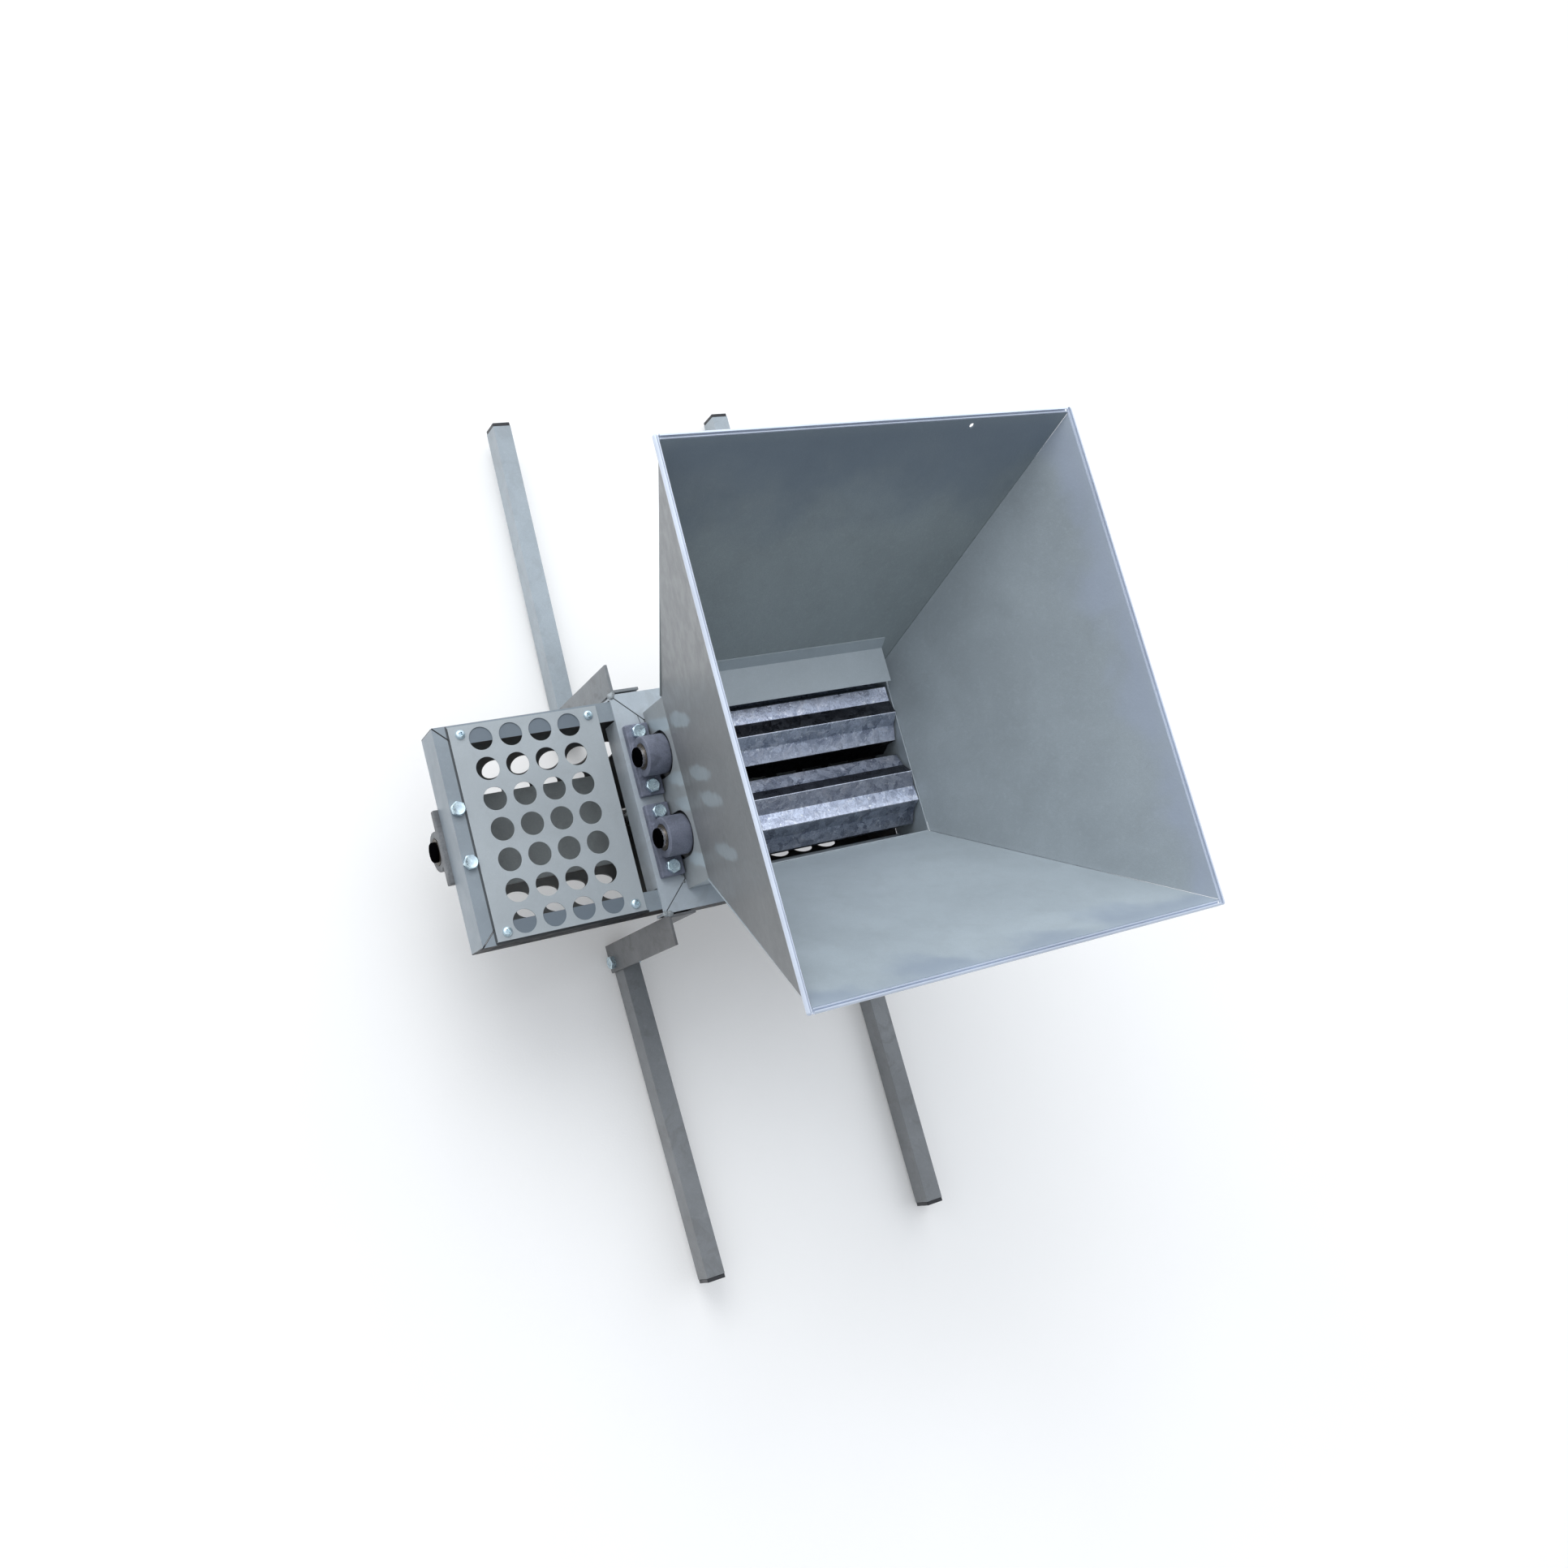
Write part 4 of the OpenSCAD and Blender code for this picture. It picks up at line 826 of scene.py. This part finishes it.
for n, mt in (("sieve_trough", "inside"), ("bearing_bushes", "bronze"), ("roller_front_shaft", "shaft"), ("roller_back_shaft", "shaft"),
              ("rotor_shaft", "rotor_shaft"), ("roller_front_discs", "steel"), ("roller_back_discs", "steel"),
              ("roller_front_gear", "steel"), ("roller_back_gear", "steel"), ("rotor_drive_gear", "steel"), ("rotor_pinion", "steel")):
    o = nodes[n]
    o.data.materials.clear()
    o.data.materials.append(mats[mt])
    for p in o.data.polygons:
        p.material_index = 0

# ---------------------------------------------------------------- welds
def bead(name, pts, r=2.0, flat=0.75, step=0.9, body="frame", mat=None):
    """A weld bead: overlapping ripples swept along a line of points (mm)."""
    path = [P(*p) for p in pts]
    segs = []
    for a, b in zip(path, path[1:]):
        n = max(1, int((b - a).length * 1000 / step))
        segs += [a.lerp(b, i / n) for i in range(n)]
    segs.append(path[-1])
    bm = bmesh.new()
    last, first = None, None
    n = len(segs)
    for i, c in enumerate(segs):
        t = (segs[min(n - 1, i + 1)] - segs[max(0, i - 1)]).normalized()
        up = Vector((0, 0, 1)) if abs(t.z) < 0.8 else Vector((1, 0, 0))
        side = t.cross(up).normalized()
        up = side.cross(t).normalized()
        end = min(1, (i + 0.4) / 2.2, (n - 1 - i + 0.4) / 2.2)
        k = r * (0.86 + 0.16 * math.sin(i * 1.9) + 0.08 * rnd.uniform(-1, 1)) * math.sqrt(end) / 1000
        ring = [bm.verts.new(c + side * math.cos(a) * k + up * math.sin(a) * k * flat)
                for a in (2 * math.pi * j / 12 for j in range(12))]
        if last:
            for j in range(12):
                bm.faces.new((last[j], last[(j + 1) % 12], ring[(j + 1) % 12], ring[j]))
        else:
            first = ring
        last = ring
    bm.faces.new(list(reversed(first)))
    bm.faces.new(last)
    me = mesh_from(bm, name)
    shade(me, 60)
    return new_object(name, me, mat or mats["weld"], body)

def blob(name, x, y, z, r, flat=0.6):
    bm = bmesh.new()
    bmesh.ops.create_icosphere(bm, subdivisions=3, radius=r / 1000)
    for v in bm.verts:
        d = noise.noise(v.co * 900 + Vector((x, y, z))) * 0.25
        v.co = v.co * (1 + d)
        v.co.z *= flat
        v.co += P(x, y, z)
    me = mesh_from(bm, name)
    shade(me, 80)
    return new_object(name, me, mats["weld"], "frame")

bead("weld_front_left_a", [(-156.5, -113.6, 189.2), (-149, -113.9, 189.6)], 2.4)
blob("weld_front_left_b", -152.5, -113.2, 189.8, 3.2, 0.6)
blob("weld_back_left_a", -156.5, 111.5, 189.8, 3.6, 0.5)
blob("weld_back_left_b", -154.0, 113.6, 189.6, 2.6, 0.6)
bead("weld_front_right_a", [(150, -113.9, 189.4), (132, -113.9, 189.6)], 1.9)
bead("weld_back_right_a", [(150, 113.9, 189.4), (132, 113.9, 189.6)], 1.9)
blob("weld_spot_1", -157.2, -112.6, 190.0, 3.0, 0.5)
blob("weld_spot_2", -129.8, -79.6, 190.2, 1.3, 0.6)
blob("weld_spot_3", -129.6, -85.6, 190.2, 1.4, 0.6)

# ---------------------------------------------------------------- stage and light
def add_mesh(name, verts, faces):
    me = bpy.data.meshes.new(name)
    me.from_pydata(verts, [], faces)
    o = bpy.data.objects.new(name, me)
    scene.collection.objects.link(o)
    return o
floor = add_mesh("floor", [(-8, -8, 0), (8, -8, 0), (8, 8, 0), (-8, 8, 0)], [(0, 1, 2, 3)])
t = Tree("studio_floor")
floor.data.materials.append(t.done(t.mix(t.span(t.noise(2.5, 3), 0.3, 0.7), (0.90, 0.885, 0.865), (0.92, 0.905, 0.885)),
                                   0.8, t.bump(t.noise(400, 2), 0.0001), Specular_IOR_Level=0.1,
                                   Emission_Color=(1.0, 0.985, 0.965, 1), Emission_Strength=0.10))

world = bpy.data.worlds.new("studio")
scene.world = world
world.use_nodes = True
wn, wl = world.node_tree.nodes, world.node_tree.links
bg = wn["Background"]
tc = wn.new("ShaderNodeTexCoord")
sp = wn.new("ShaderNodeSeparateXYZ")
wl.new(tc.outputs["Generated"], sp.inputs[0])
ramp = wn.new("ShaderNodeValToRGB")
mr = wn.new("ShaderNodeMapRange")
mr.inputs["From Min"].default_value, mr.inputs["From Max"].default_value = -1.0, 1.0
wl.new(sp.outputs["Y"], mr.inputs["Value"])
wl.new(mr.outputs["Result"], ramp.inputs["Fac"])
els = ramp.color_ramp.elements
els[0].position, els[0].color = 0.18, (0.34, 0.37, 0.41, 1)
els[1].position, els[1].color = 0.85, (1.42, 1.48, 1.56, 1)
e = els.new(0.5); e.color = (0.80, 0.84, 0.90, 1)
wl.new(ramp.outputs["Color"], bg.inputs[0])
mz = wn.new("ShaderNodeMapRange")
mz.inputs["From Min"].default_value, mz.inputs["From Max"].default_value = -0.1, 1.0
mz.inputs["To Min"].default_value, mz.inputs["To Max"].default_value = 0.52, 1.32
wl.new(sp.outputs["Z"], mz.inputs["Value"])
wl.new(mz.outputs["Result"], bg.inputs[1])

def area(name, loc, target, size, energy, col):
    ld = bpy.data.lights.new(name, "AREA")
    ld.shape, ld.size, ld.size_y, ld.energy, ld.color = "RECTANGLE", size[0], size[1], energy, col
    lo = bpy.data.objects.new(name, ld)
    scene.collection.objects.link(lo)
    lo.location = loc
    lo.rotation_euler = (Vector(target) - Vector(loc)).to_track_quat("-Z", "Y").to_euler()
area("key", (-0.9, 2.4, 2.8), (0, 0, 0.2), (2.6, 2.0), 44, (0.97, 0.985, 1.0))

scene.view_settings.view_transform = "Standard"
